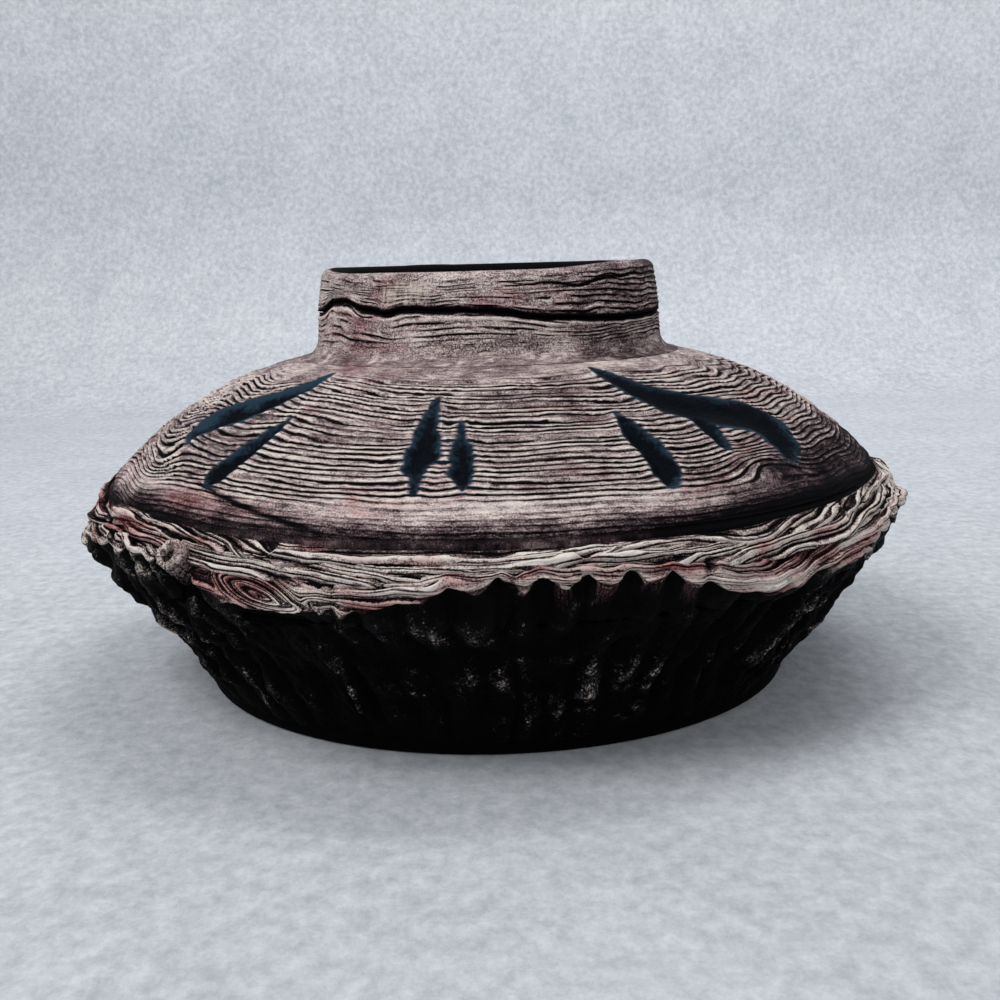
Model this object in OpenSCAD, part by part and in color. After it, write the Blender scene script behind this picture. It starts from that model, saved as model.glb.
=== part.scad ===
// Squat hand-built pottery vase with a bark-like body: a pleated bowl and a domed shoulder are luted
// together at a seam, the seam is wrapped in torn strips of clay, and a two-band neck stands on top.
// Millimetres, +Z up, the origin at the centre of the foot's underside. Angles are in degrees,
// measured from the front (-Y) and growing towards +X.

/* [Body] */
// Thickness of the thrown shoulder and of the bowl's rim
wall = 9; // [7:0.5:11]
// Film of slip between two luted pieces that meet on a curved face
slip = 0.1; // [0.05:0.05:0.3]

/* [Foot] */
// Diameter of the slab that closes the bottom
foot_d = 242; // [220:1:256]
// Thickness of the slab's edge, on which the bowl stands
foot_edge_t = 6; // [4:0.5:8]
// Thickness of the raised floor inside the bowl
floor_t = 12; // [10:0.5:16]
// Width of the slab's edge outside the raised floor
foot_ledge_w = 12; // [9:0.5:14]
// Rounding of the slab's lower edge
foot_round = 3; // [1:0.5:4]

/* [Bowl] */
// How far the bowl stands out past the slab at its lower end
bowl_overhang = 1; // [0:0.5:3]
// How far the bowl's flank is hollowed between the foot and the belt
bowl_sag = 2; // [0:0.5:4]
// Height of the bowl's upright inner rim below the seam
bowl_rim_h = 10; // [8:0.5:14]
// Number of pleats round the bowl
pleat_count = 72; // [48:1:84]
// How far a pleat stands out from the bowl's mean surface
pleat_depth = 2.5; // [1:0.25:3.5]
// Turn of the pleats between the foot and the belt
pleat_lean = 9; // [0:1:20]
// Share of the bowl's height over which the pleats fade in from the foot
pleat_fade = 0.4; // [0.1:0.1:0.8]

/* [Shoulder] */
// Diameter of the shoulder's edge, which is also the belt's seat
seam_d = 311; // [300:1:320]
// Height at which the dome turns down into its upright edge
dome_edge_z = 84; // [80:0.5:88]
// Height of that upright edge, from the seam with the bowl
dome_edge_h = 8; // [6:0.5:12]
// Radius of the dome's outer arc, whose centre lies in the plane of the foot
dome_r = 131; // [128:0.5:136]
// Radius of the half-round coil pressed into the seam from inside
coil_r = 4; // [3:0.5:5]
// Number of main layers in which the bark-like grain steps down the dome
layer_count = 8; // [4:1:12]
// How far the edge of a layer stands out over the next one below
layer_depth = 0.7; // [0.3:0.1:1]
// Length of the hollow below the edge of a layer
layer_hollow = 5; // [2:0.5:7]
// Length of the smooth collar above the first layer
collar_run = 15; // [10:1:20]
// Depth of the gouges in the dome
gouge_depth = 3.5; // [2:0.5:4]

/* [Neck] */
// Diameter of the mouth, the same all down the neck
mouth_d = 120; // [110:1:130]
// Thickness of the neck at the rim
neck_wall = 8; // [7:0.5:10]
// How far the neck widens from the rim to the seam between its bands
neck_taper = 1.5; // [0:0.5:3]
// How far the foot of the neck flares out from the rim's width
neck_flare = 9.8; // [8:0.1:12]
// Radius of the hollow curve where the neck flares into the shoulder
neck_fillet = 7.5; // [5:0.5:8]
// Thickness left at the feathered edge of that flare
feather_t = 0.4; // [0.2:0.1:1]
// Height of the lower band, up to the seam between the two bands
base_band_h = 18; // [14:0.5:22]
// Height of the rim band above that seam
rim_band_h = 18; // [14:0.5:24]
// How far the rim band stands out over the lower band
neck_ledge = 0.6; // [0:0.1:1.5]
// Height of the lap between the two bands
lap_h = 6; // [4:0.5:9]
// Thickness of the lap's tongue
lap_t = 4; // [3:0.5:5]

/* [Belt] */
// How far the belt's top edge lies below the dome's edge at its lowest, and above it on the far side
belt_lap = 2; // [1:0.5:3]
// Angle from the front at which the belt's top edge lies lowest
belt_low_angle = 15; // [0:5:30]
// Height of the upper strips at the seat
upper_h = 7; // [5:0.5:9]
// Height of the middle strips at the seat
middle_h = 7; // [5:0.5:9]
// Height of the lip at the seat, down to the bowl's shelf
lip_h = 13; // [12:0.5:16]
// How far the crest of the lip stands out from the seat
lip_reach = 10; // [8:0.5:13]
// How far the crest of the lip lies below its top at the seat
lip_sink = 1.5; // [0:0.5:2]
// How far the lip's hem hangs below its crest
lip_hang = 1.7; // [0.5:0.1:2.5]
// Height of the rounded edge from the hem up to the crest
lip_edge_h = 3.4; // [2:0.1:4]
// How far each layer stands back from the one below
tier_step = 3.3; // [2:0.1:4]
// Rise from one layer's edge to the next
tier_rise = 5.2; // [4:0.1:6]
// Thickness of a strip's torn edge
strip_edge_t = 2.6; // [1.5:0.1:3]
// How far the lip's hem rises and falls
wave_h = 7.2; // [4:0.1:7.5]
// Number of rises round the belt
wave_count = 6; // [4:1:8]
// Angle of the first rise from the front
wave_peak = 7.5; // [0:0.5:30]
// How far the lip's ruffles move it in and out
ruffle = 1.2; // [0:0.1:2]
// Angle of the rolled curl between two lengths of the lip
curl_angle = -40; // [-60:1:-30]
// Radius of the curl
curl_r = 5; // [4:0.1:5.2]
// Thickness of the strip that is rolled up in it
curl_t = 2; // [1.5:0.1:2.5]
// How far the curl stands out past the lip
curl_out = 6; // [3:0.5:7]
// Upward tilt of the curl
curl_tilt = 33; // [20:1:35]
// How far the curl is turned towards the front
curl_turn = 20; // [0:1:25]
// How far the hem rises beside the curl
curl_lift = 6; // [0:0.5:7]

/* [Hidden] */
$fn = 96;
eps = 1;
bark_colour = [0.47, 0.42, 0.42];
belt_colour = [0.53, 0.48, 0.46];
dark_colour = [0.08, 0.08, 0.09];
inner_colour = [0.16, 0.14, 0.14];

// Angle between two sections of a strip, and the angles where its lengths end, all multiples of it.
section_step = 2;
lip_joints = [-18, 2, 24, 74, 120, 170, 220, 268];
middle_joints = [-60, 10, 62, 140, 220];
upper_joints = [-100, -26, 50, 150];

// Gouges at the front: angle and height of the upper end, angle and height of the lower end, width.
// The heights are shares of the dome's rise between its edge and the neck's seat. A bent gouge is cut
// in two or three strokes that run into each other.
front_gouges = [
    [-40.3, 0.95, -46, 0.72, 12],
    [-42.5, 0.82, -55.5, 0.47, 22],
    [-35.5, 0.68, -41, 0.26, 10],
    [-9.4, 0.82, -9.8, 0.27, 12],
    [-4.5, 0.69, -3.5, 0.28, 9],
    [25, 0.96, 34, 0.72, 13],
    [29.5, 0.8, 48, 0.53, 19],
    [46.5, 0.62, 47, 0.32, 18],
    [35.2, 0.61, 35.8, 0.4, 9],
    [21.2, 0.69, 23.4, 0.23, 11]
];
// Turn of each set of gouges, and -1 where the set is mirrored
gouge_sets = [[0, 1], [180, -1]];

// Rows of facets up the bowl, and facets round each pleat
bowl_rows = 7;
pleat_steps = 4;
// Share of the hem's wave that the top of the lip, of the middle and of the upper strips follow
lip_wave_share = 0.46;
middle_wave_share = 0.27;
upper_wave_share = 0.12;
// Share of the lip's face that its crest takes up at most
crest_share = 0.7;
// Half width, in degrees, of the rise of the hem beside the curl
curl_lift_spread = 5.5;

seam_r = seam_d / 2;
mouth_r = mouth_d / 2;
foot_r = foot_d / 2;
floor_r = foot_r - foot_ledge_w;
inner_r = seam_r - wall;
bowl_foot_r = foot_r + bowl_overhang;
shelf_r = seam_r + pleat_depth;
crest_r = seam_r + lip_reach;
dome_axis_r = seam_r - sqrt(pow(dome_r, 2) - pow(dome_edge_z, 2));

seam_z = dome_edge_z - dome_edge_h;
bowl_turn_z = seam_z - bowl_rim_h;
middle_top_z = dome_edge_z - upper_h;
lip_top_z = middle_top_z - middle_h;
shelf_z = lip_top_z - lip_h;
lip_z = lip_top_z - lip_sink;

neck_r = mouth_r + neck_wall;
neck_seam_r = neck_r + neck_taper;
neck_foot_r = neck_r + neck_flare;
neck_z = sqrt(pow(dome_r, 2) - pow(neck_foot_r - dome_axis_r, 2));
neck_seam_z = neck_z + base_band_h;
rim_round = neck_wall / 2;
round_z = neck_seam_z + rim_band_h - rim_round;

curl_length = lip_reach + curl_out;
curl_half_angle = asin((curl_r + 2 * slip) / seam_r);
curl_swing = asin(curl_length * cos(curl_tilt) * sin(curl_turn) / crest_r);
curl_start = section_step * floor((curl_angle - curl_half_angle) / section_step);
curl_end = section_step * ceil((curl_angle + curl_half_angle + curl_swing) / section_step);
lip_ends = concat([curl_end], lip_joints, [360 + curl_start]);
middle_ends = concat(middle_joints, [360 + middle_joints[0]]);
upper_ends = concat(upper_joints, [360 + upper_joints[0]]);

lip_names = [for (i = [1:len(lip_ends) - 1]) str("lip_strip_", i)];
middle_names = [for (i = [1:len(middle_ends) - 1]) str("middle_strip_", i)];
upper_names = [for (i = [1:len(upper_ends) - 1]) str("upper_strip_", i)];

// A point at an angle from the front, a radius and a height.
function at(a, r, z) = [r * sin(a), -r * cos(a), z];

// Radius of the dome's outer surface at a height.
function dome_radius(z) = dome_axis_r + sqrt(pow(dome_r, 2) - pow(z, 2));

// Rise and fall of the lip's hem, and the smaller in-and-out of its ruffles.
function wave(a) = wave_h * (0.88 * cos(wave_count * (a - wave_peak)) + 0.12 * cos(17 * a + 40));
function ruffles(a) = ruffle * (0.6 * cos(11 * a + 25) + 0.4 * cos(19 * a + 80));

// Radius that keeps a flat-sided ring just outside a round seat of radius r.
function around(r) = r / cos(section_step / 2) + slip;

// Radius of the belt's seat at a height: the dome above its edge, the upright edge below it.
function seat_radius(z) = around(z > dome_edge_z ? dome_radius(z) : seam_r);

// The edges that neighbouring strips share, as radius and height.
function lip_edge(a) = [crest_r - tier_step + ruffles(a + 8), lip_z + tier_rise + lip_wave_share * wave(a)];
function middle_edge(a) =
    [crest_r - 2 * tier_step + ruffles(a + 21), lip_z + 2 * tier_rise + middle_wave_share * wave(a)];

// Height of the lip's hem, which rises beside the curl and stays below the top of the lip.
function hem_height(a) =
    let (lift = curl_lift * exp(-pow((a - curl_angle) / curl_lift_spread, 2)))
    let (lift_round = curl_lift * exp(-pow((a - 360 - curl_angle) / curl_lift_spread, 2)))
    min(lip_z - lip_hang + wave(a) + lift + lift_round, lip_edge(a)[1] - strip_edge_t);

// Sections of the three kinds of strip at an angle, counter-clockwise from a point on the seat from
// which every other corner can be seen.
function lip_section(a) =
    let (seat = around(seam_r), u = ruffles(a), hem = hem_height(a), top = lip_edge(a))
    [
        [seat, (shelf_z + lip_top_z) / 2],
        [seat, shelf_z],
        [shelf_r, shelf_z],
        [crest_r - lip_edge_h + u / 2, max(hem - strip_edge_t, shelf_z + strip_edge_t / 2)],
        [crest_r - strip_edge_t / 5 + u, hem],
        [crest_r + u, hem + min(lip_edge_h, crest_share * (top[1] - hem))],
        [top[0], top[1] - slip],
        [seat, lip_top_z - slip]
    ];

function middle_section(a) =
    let (seat = around(seam_r), bottom = lip_edge(a), top = middle_edge(a))
    [
        [seat, (lip_top_z + middle_top_z) / 2],
        [seat, lip_top_z],
        bottom,
        [bottom[0] - strip_edge_t / 4, bottom[1] + strip_edge_t],
        [top[0], top[1] - slip],
        [seat, middle_top_z - slip]
    ];

function upper_section(a) =
    let (seat = around(seam_r), bottom = middle_edge(a), rim_z = bottom[1] + strip_edge_t)
    let (edge_z = dome_edge_z - belt_lap * cos(a - belt_low_angle) + upper_wave_share * wave(a))
    [
        [seat, min(dome_edge_z, edge_z - strip_edge_t / 4)],
        [seat, middle_top_z],
        bottom,
        [bottom[0] - strip_edge_t / 4, rim_z],
        [seat + strip_edge_t / 2, max(edge_z - strip_edge_t / 2, (edge_z + rim_z) / 2)],
        [seat_radius(edge_z), edge_z]
    ];

// Faces of a band of k like sections, as triangles. A closed band joins up with itself. Faces that run
// inwards and outwards are split along the same diagonal, so that strips lie on each other without a gap.
function band_faces(section, k, closed) =
    let (n = len(section))
    concat(
        [for (j = [0:(closed ? k - 1 : k - 2)], i = [0:n - 1], half = [0, 1])
            let (h = (i + 1) % n, inward = section[i][0] > section[h][0])
            let (p = j * n + i, q = j * n + h, t = ((j + 1) % k) * n + h, v = ((j + 1) % k) * n + i)
            inward ? (half == 0 ? [p, q, v] : [q, t, v]) : (half == 0 ? [p, q, t] : [p, t, v])],
        closed ? [] : [for (i = [1:n - 2]) [0, i + 1, i]],
        closed ? [] : [for (i = [1:n - 2]) [(k - 1) * n, (k - 1) * n + i, (k - 1) * n + i + 1]]);

// A strip of clay laid between two angles, with the given section.
module strip(section, a1, a2) {
    angles = [for (a = [a1:section_step:a2]) a];
    points = [for (a = angles, p = section(a)) at(a, p[0], p[1])];
    polyhedron(points, band_faces(section(a1), len(angles), false));
}

module lip_strip(i) {
    color(belt_colour) strip(function(a) lip_section(a), lip_ends[i], lip_ends[i + 1]);
}

module middle_strip(i) {
    color(belt_colour) strip(function(a) middle_section(a), middle_ends[i], middle_ends[i + 1]);
}

module upper_strip(i) {
    color(belt_colour) strip(function(a) upper_section(a), upper_ends[i], upper_ends[i + 1]);
}

// Slab that closes the bottom: a flat underside, a rounded edge and a raised floor inside the bowl.
module foot_slab() {
    color(dark_colour) rotate_extrude() {
        square([foot_r - foot_round, foot_edge_t]);
        translate([0, foot_round]) square([foot_r, foot_edge_t - foot_round]);
        translate([foot_r - foot_round, foot_round]) circle(foot_round);
        square([floor_r, floor_t]);
    }
}

// Pleats of the bowl: a ridge that repeats round the foot, leans with height and varies in strength.
function pleat(a, rise) =
    let (swing = pleat_lean * rise + 3 * sin(5 * a) * rise)
    (0.75 + 0.25 * cos(7 * a + 60)) * cos(pleat_count * (a + swing)) + 0.25 * cos(13 * a - 140 * rise);

// Radius of the bowl's outside at a share of its height. The pleats stand out more than they sink in.
function bowl_radius(a, rise) =
    let (mean = bowl_foot_r + (shelf_r - bowl_foot_r) * rise - bowl_sag * sin(180 * rise))
    mean + pleat_depth * min(1, rise / pleat_fade) * (pleat(a, rise) + 0.4);

// Section of the bowl at an angle: the pleated outside, the shelf, the upright seat and a plain inside.
function bowl_section(a) = concat(
    [for (j = [0:bowl_rows], rise = [j / bowl_rows])
        [bowl_radius(a, rise), foot_edge_t + (shelf_z - foot_edge_t) * rise]],
    [[seam_r, shelf_z], [seam_r, seam_z], [floor_r - eps, seam_z], [floor_r - eps, foot_edge_t]]);

module pleated_bowl() {
    steps = pleat_steps * pleat_count;
    angles = [for (j = [0:steps - 1]) 360 * j / steps];
    points = [for (a = angles, p = bowl_section(a)) at(a, p[0], p[1])];
    color(dark_colour) difference() {
        polyhedron(points, band_faces(bowl_section(0), steps, true));
        bowl_hollow();
    }
}

// The space inside the bowl: round the raised floor, out along a cone and up to the seam.
module bowl_hollow() {
    rotate_extrude() polygon([
        [0, foot_edge_t - eps],
        [floor_r + slip, foot_edge_t - eps],
        [floor_r + slip, floor_t],
        [inner_r, bowl_turn_z],
        [inner_r, seam_z + eps],
        [0, seam_z + eps]
    ]);
}

// Half-round coil of clay that closes the seam from inside.
module seam_coil() {
    color(inner_colour) rotate_extrude() intersection() {
        translate([inner_r - slip, seam_z]) circle(coil_r);
        translate([inner_r - slip - 2 * coil_r, seam_z - coil_r]) square(2 * coil_r);
    }
}

// A point on the dome at an angle and a share of its rise, lifted off the surface.
function on_dome(a, share, lift) =
    let (tilt = asin((dome_edge_z + (neck_z - dome_edge_z) * share) / dome_r))
    at(a, dome_axis_r + (dome_r + lift) * cos(tilt), (dome_r + lift) * sin(tilt));

// A gouge between two points of the dome, cut by a pointed spindle that lies along the surface. The
// spindle's arc is chosen so that it leaves the dome at the gouge's ends.
module gouge(a1, s1, a2, s2, w) {
    run = on_dome(a2, s2, 0) - on_dome(a1, s1, 0);
    belly = (w * w / 4 + gouge_depth * gouge_depth) / (2 * gouge_depth);
    bend = 8 * gouge_depth / pow(norm(run), 2) - 1 / dome_r;
    arc_r = max(belly, 1 / max(bend, 1 / (2 * dome_r)));
    half = sqrt(belly * (2 * arc_r - belly));
    translate(on_dome((a1 + a2) / 2, (s1 + s2) / 2, belly - gouge_depth))
        rotate([0, acos(run[2] / norm(run)), atan2(run[1], run[0])])
            rotate_extrude() intersection() {
                translate([belly - arc_r, 0]) circle(arc_r);
                translate([0, -half]) square([belly, 2 * half]);
            }
}

module gouges() {
    for (set = gouge_sets, g = front_gouges)
        gouge(set[0] + set[1] * g[0], g[1], set[0] + set[1] * g[2], g[3], g[4]);
}

// Section of the hollows under the layers' edges, from the foot of the dome up to the smooth collar.
module layer_hollows() {
    low = asin(dome_edge_z / dome_r);
    high = asin(neck_z / dome_r) - collar_run / dome_r * 180 / PI;
    for (i = [1:layer_count])
        translate([dome_axis_r, 0]) rotate(low + (high - low) * i / layer_count) translate([dome_r, 0])
            polygon([[eps, 0], [-layer_depth, 0], [0, -layer_hollow], [eps, -layer_hollow]]);
}

// Domed shoulder between the seam and the neck, layered outside, with an upright edge under the belt.
module shoulder_dome() {
    color(bark_colour) difference() {
        rotate_extrude() difference() {
            intersection() {
                translate([dome_axis_r, 0]) circle(dome_r);
                translate([mouth_r, seam_z]) square([seam_r - mouth_r, neck_z - seam_z]);
            }
            intersection() {
                translate([dome_axis_r, 0]) circle(dome_r - wall);
                translate([0, seam_z - eps]) square([inner_r, neck_z - seam_z]);
            }
            layer_hollows();
        }
        gouges();
    }
}

// Lower band of the neck: flared into the shoulder, with an upright tongue inside for the lap.
module neck_base_band() {
    stem_r = neck_foot_r - neck_fillet;
    color(bark_colour) rotate_extrude() {
        polygon([
            [mouth_r, neck_z],
            [stem_r, neck_z],
            [stem_r, neck_z + neck_fillet],
            [neck_seam_r, neck_seam_z],
            [mouth_r, neck_seam_z]
        ]);
        difference() {
            translate([stem_r - eps, neck_z]) square([neck_fillet + eps, neck_fillet + feather_t]);
            translate([neck_foot_r, neck_z + neck_fillet + feather_t]) circle(neck_fillet);
        }
        translate([mouth_r, neck_seam_z - eps]) square([lap_t, lap_h + eps]);
    }
}

// Rim band of the neck: its skirt laps over the tongue of the lower band, and its lip is rounded.
module neck_rim_band() {
    color(bark_colour) rotate_extrude() {
        difference() {
            polygon([
                [mouth_r, neck_seam_z],
                [neck_seam_r + neck_ledge, neck_seam_z],
                [neck_r, round_z],
                [mouth_r, round_z]
            ]);
            translate([0, neck_seam_z - eps]) square([mouth_r + lap_t + slip, lap_h + eps]);
        }
        translate([mouth_r + rim_round, round_z]) circle(rim_round);
    }
}

// Outline of a strip rolled up on itself: half rings that shrink towards the middle.
module roll_outline() {
    for (turn = [0:2]) {
        r = curl_r - turn * curl_t / 2;
        translate([turn % 2 * curl_t / 2, 0]) rotate(180 * (turn % 2)) difference() {
            intersection() {
                circle(r);
                translate([-r, 0]) square([2 * r, r]);
            }
            circle(r - curl_t);
        }
    }
}

// Rolled end of a strip, seated on the bowl's rim between two lengths of the lip.
module curl_roll() {
    seat_z = shelf_z + curl_r / cos(curl_tilt) + slip;
    color(belt_colour) difference() {
        translate(at(curl_angle, seam_r, seat_z))
            rotate([0, 0, curl_angle + curl_turn])
                rotate([90 - curl_tilt, 0, 0])
                    translate([0, 0, -2 * curl_r]) linear_extrude(2 * curl_r + curl_length) roll_outline();
        translate([0, 0, shelf_z - curl_r]) cylinder(r = seam_r + slip, h = 8 * curl_r);
    }
}

foot_slab();
pleated_bowl();
seam_coil();
shoulder_dome();
neck_base_band();
neck_rim_band();
for (i = [0:len(lip_names) - 1]) lip_strip(i);
for (i = [0:len(middle_names) - 1]) middle_strip(i);
for (i = [0:len(upper_names) - 1]) upper_strip(i);
curl_roll();
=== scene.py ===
"""Dresses the solids of a squat, hand-built pottery vase with a bark-like body.

Sizes are millimetres and angles are degrees from the front (-Y), growing towards +X. Meshes are
written in metres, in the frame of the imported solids. A field whose name ends in "_at" holds the centre
and the spread of a bump; any other Pair among the fields is the two ends of a range.
"""
import logging
import math
from dataclasses import dataclass
from enum import Enum
from typing import Optional, Sequence, Union

import bmesh
import bpy
import numpy as np
from mathutils import Euler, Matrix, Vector


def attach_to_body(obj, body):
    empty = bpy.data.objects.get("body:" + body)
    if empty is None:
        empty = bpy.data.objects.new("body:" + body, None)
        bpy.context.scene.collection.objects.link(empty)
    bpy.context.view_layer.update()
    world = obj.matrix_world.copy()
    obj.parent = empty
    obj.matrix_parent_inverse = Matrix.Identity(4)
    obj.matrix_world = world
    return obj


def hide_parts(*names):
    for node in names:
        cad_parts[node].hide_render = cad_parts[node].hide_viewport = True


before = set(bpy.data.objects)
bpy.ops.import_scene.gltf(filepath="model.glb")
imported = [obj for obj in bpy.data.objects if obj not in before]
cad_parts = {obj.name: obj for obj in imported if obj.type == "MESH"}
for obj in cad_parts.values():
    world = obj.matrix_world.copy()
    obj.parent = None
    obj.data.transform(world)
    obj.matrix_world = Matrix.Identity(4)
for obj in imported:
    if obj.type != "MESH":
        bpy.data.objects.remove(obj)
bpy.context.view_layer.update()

LOG = logging.getLogger("vase")
MM = 0.001
BODY = "root"
FAR_FROM_GOUGE = -12.0
Array = np.ndarray
Colour = tuple[float, float, float]
Place = tuple[float, float, float]
Pair = tuple[float, float]
Socket = bpy.types.NodeSocket
Value = Union[float, Socket]
Paint = Union[Colour, Socket]


def srgb(red: int, green: int, blue: int) -> Colour:
    """Turn a colour written as 0 to 255 into linear light."""
    def linear(part: int) -> float:
        """Return one channel in linear light."""
        share = part / 255
        return share / 12.92 if share <= 0.04045 else ((share + 0.055) / 1.055) ** 2.4
    return (linear(red), linear(green), linear(blue))


def ease(value: Array, low: float, high: float) -> Array:
    """Rise smoothly from 0 at low to 1 at high.

    Args:
        value: where to measure.
        low: value at which the result is 0.
        high: value at which the result is 1.

    Returns:
        The eased share, between 0 and 1.
    """
    share = np.clip((value - low) / (high - low), 0.0, 1.0)
    return share * share * (3 - 2 * share)


def between(value: Array, rise: Pair, fall: Pair) -> Array:
    """Rise smoothly from 0 to 1 over one slope, and fall back to 0 over another."""
    return ease(value, *rise) * (1 - ease(value, *fall))


def around_turn(angle: Array, centre: float) -> Array:
    """Return the angle from a centre, between -180 and 180 degrees."""
    return (angle - centre + 180) % 360 - 180


def bump(angle: Array, centre: float, spread: float) -> Array:
    """Return a soft bump round the vase, 1 at its centre."""
    return np.exp(-(around_turn(angle, centre) / spread) ** 2)


def towards(angle: Array, centre: float, low: float, high: float) -> Array:
    """Return how far each angle faces a side of the vase, eased between two cosines."""
    return ease(np.cos(np.radians(angle - centre)), low, high)


def shingled(lines: Array, rise: Pair = (0.15, 0.85), drop: float = 0.93) -> Array:
    """Return how far each point stands up on its layer of the grain.

    Args:
        lines: count of the grain lines down to each point, whole at each groove.
        rise: parts of a layer between which it rises.
        drop: part of a layer at which it drops into the next groove.

    Returns:
        The height, between 0 and 1.
    """
    return between(lines - np.floor(lines), rise, (drop, 1.0))


@dataclass(frozen=True)
class ClayNoise:
    """Soft, repeatable noise that closes up round the vase.

    It has a number of lumps in a full turn, their length along the surface, and finer layers, each half
    as large and half as strong as the one before.
    """

    seed: float
    cells: int
    pitch: float
    layers: int = 1

    def _layer(self, angle: Array, run: Array, layer: int) -> Array:
        """Sample one layer of the noise, between -1 and 1."""
        seed = self.seed + 13.7 * layer
        cells = self.cells * 2 ** layer

        def corner(column: Array, row: Array) -> Array:
            """Return the fixed value of one lattice corner."""
            mixed = np.sin(np.mod(column, cells) * 127.1 + row * 311.7 + seed * 74.7) * 43758.5453
            return (mixed - np.floor(mixed)) * 2 - 1

        across = angle / 360 * cells
        along = run / (self.pitch / 2 ** layer)
        column, row = np.floor(across), np.floor(along)
        side, up = ease(across - column, 0.0, 1.0), ease(along - row, 0.0, 1.0)
        low = corner(column, row) * (1 - side) + corner(column + 1, row) * side
        high = corner(column, row + 1) * (1 - side) + corner(column + 1, row + 1) * side
        return low * (1 - up) + high * up

    def at(self, angle: Array, run: Array) -> Array:
        """Sample the noise.

        Args:
            angle: degrees round the vase.
            run: millimetres along the surface.

        Returns:
            Values between about -1 and 1.
        """
        total = np.zeros(np.broadcast(angle, run).shape)
        for layer in range(self.layers):
            total = total + self._layer(angle, run, layer) / 2 ** layer
        return total / (2 - 2 ** (1 - self.layers))


def densify(points: Sequence[Pair], counts: Sequence[int]) -> Array:
    """Split each leg of a closed outline into equal parts.

    Args:
        points: corners as radius and height, counter-clockwise.
        counts: parts of the leg that starts at each corner.

    Returns:
        The outline's points, one row each.
    """
    rows = []
    for index, count in enumerate(counts):
        start = np.array(points[index])
        end = np.array(points[(index + 1) % len(points)])
        rows.append(start + (end - start) * (np.arange(count) / count)[:, None])
    return np.concatenate(rows)


def arc(centre: Pair, radius: float, turns: Array) -> Array:
    """Return points on an arc of a section, by its centre, its radius and the turns in radians."""
    return np.stack([centre[0] + radius * np.cos(turns), centre[1] + radius * np.sin(turns)], axis=-1)


def outward(radius: Array, height: Array) -> tuple[Array, Array]:
    """Return the outward direction of a closed section, as its radius and height parts."""
    ahead_r = np.roll(radius, -1, axis=0) - np.roll(radius, 1, axis=0)
    ahead_z = np.roll(height, -1, axis=0) - np.roll(height, 1, axis=0)
    length = np.maximum(np.hypot(ahead_r, ahead_z), 1e-6)
    return ahead_z / length, -ahead_r / length


def finished(name: str, work: bmesh.types.BMesh) -> bpy.types.Object:
    """Turn a bmesh into a smooth-shaded object in the scene.

    Args:
        name: name of the object and of its mesh.
        work: the bmesh, which is freed.

    Returns:
        The new object.
    """
    bmesh.ops.recalc_face_normals(work, faces=work.faces)
    mesh = bpy.data.meshes.new(name)
    work.to_mesh(mesh)
    work.free()
    mesh.polygons.foreach_set("use_smooth", np.ones(len(mesh.polygons), bool))
    piece = bpy.data.objects.new(name, mesh)
    bpy.context.scene.collection.objects.link(piece)
    return piece


@dataclass
class WrappedGrid:
    """A section of clay carried round the vase's axis, as a grid of section points by angles."""

    name: str
    points: int
    steps: int
    first: float = -180.0
    last: float = 180.0
    focus: float = 0.0

    @property
    def full(self) -> bool:
        """Tell whether the grid closes on itself."""
        return abs(self.last - self.first - 360) < 1e-6

    @property
    def angles(self) -> Array:
        """Return the angle of each column, crowded towards the front by the focus."""
        count = self.steps if self.full else self.steps + 1
        even = self.first + (self.last - self.first) * np.arange(count) / self.steps
        return (even - self.focus * np.sin(np.radians(even)))[None, :]

    def wrap(self) -> bmesh.types.BMesh:
        """Lay out a flat grid and weld its edges into a tube, or into a ring for a full turn."""
        work = bmesh.new()
        bmesh.ops.create_grid(work, x_segments=self.steps, y_segments=self.points, size=1)
        work.verts.ensure_lookup_table()
        wide = self.steps + 1
        last_row = self.points * wide
        welds = {work.verts[last_row + column]: work.verts[column] for column in range(wide)}
        if self.full:
            for row in range(self.points):
                welds[work.verts[row * wide + self.steps]] = work.verts[row * wide]
            welds[work.verts[last_row + self.steps]] = work.verts[0]
        bmesh.ops.weld_verts(work, targetmap=welds)
        return work

    def make(self, radius: Array, height: Array, shift: Union[float, Array] = 0.0) -> bpy.types.Object:
        """Press every point of the grid to its sculpted place.

        Args:
            radius: sculpted radius of each grid point.
            height: sculpted height of each grid point.
            shift: degrees by which each grid point is moved round.

        Returns:
            The finished object, with closed ends.
        """
        turn = np.radians(self.angles + shift + 0 * radius)
        places = np.stack([radius * np.sin(turn), -radius * np.cos(turn), height], axis=-1) * MM
        work = self.wrap()
        for vert, place in zip(work.verts, places.reshape(-1, 3).tolist()):
            vert.co = place
        if not self.full:
            rims = [edge for edge in work.edges if edge.is_boundary]
            bmesh.ops.holes_fill(work, edges=rims, sides=0)
        return finished(self.name, work)


def attach(piece: bpy.types.Object, **layers: Union[float, Array]) -> None:
    """Store numbers on a piece for its finish to read.

    Args:
        piece: object that gets the numbers.
        layers: one number per vertex in grid order, or one for all, under the name of the attribute.
    """
    for name, values in layers.items():
        flat = np.ascontiguousarray(values, np.float32).reshape(-1)
        if flat.size == 1:
            flat = np.full(len(piece.data.vertices), flat[0])
        piece.data.attributes.new(name, "FLOAT", "POINT").data.foreach_set("value", flat)


def settle(piece: bpy.types.Object, material: bpy.types.Material, node: str) -> None:
    """Dress a piece and let it ride on the vase in place of its solid.

    Args:
        piece: the finished piece.
        material: its finish.
        node: the solid it stands for.
    """
    piece.data.materials.append(material)
    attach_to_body(piece, BODY)
    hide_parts(node)
    LOG.info("%s: %d faces", piece.name, len(piece.data.polygons))


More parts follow.
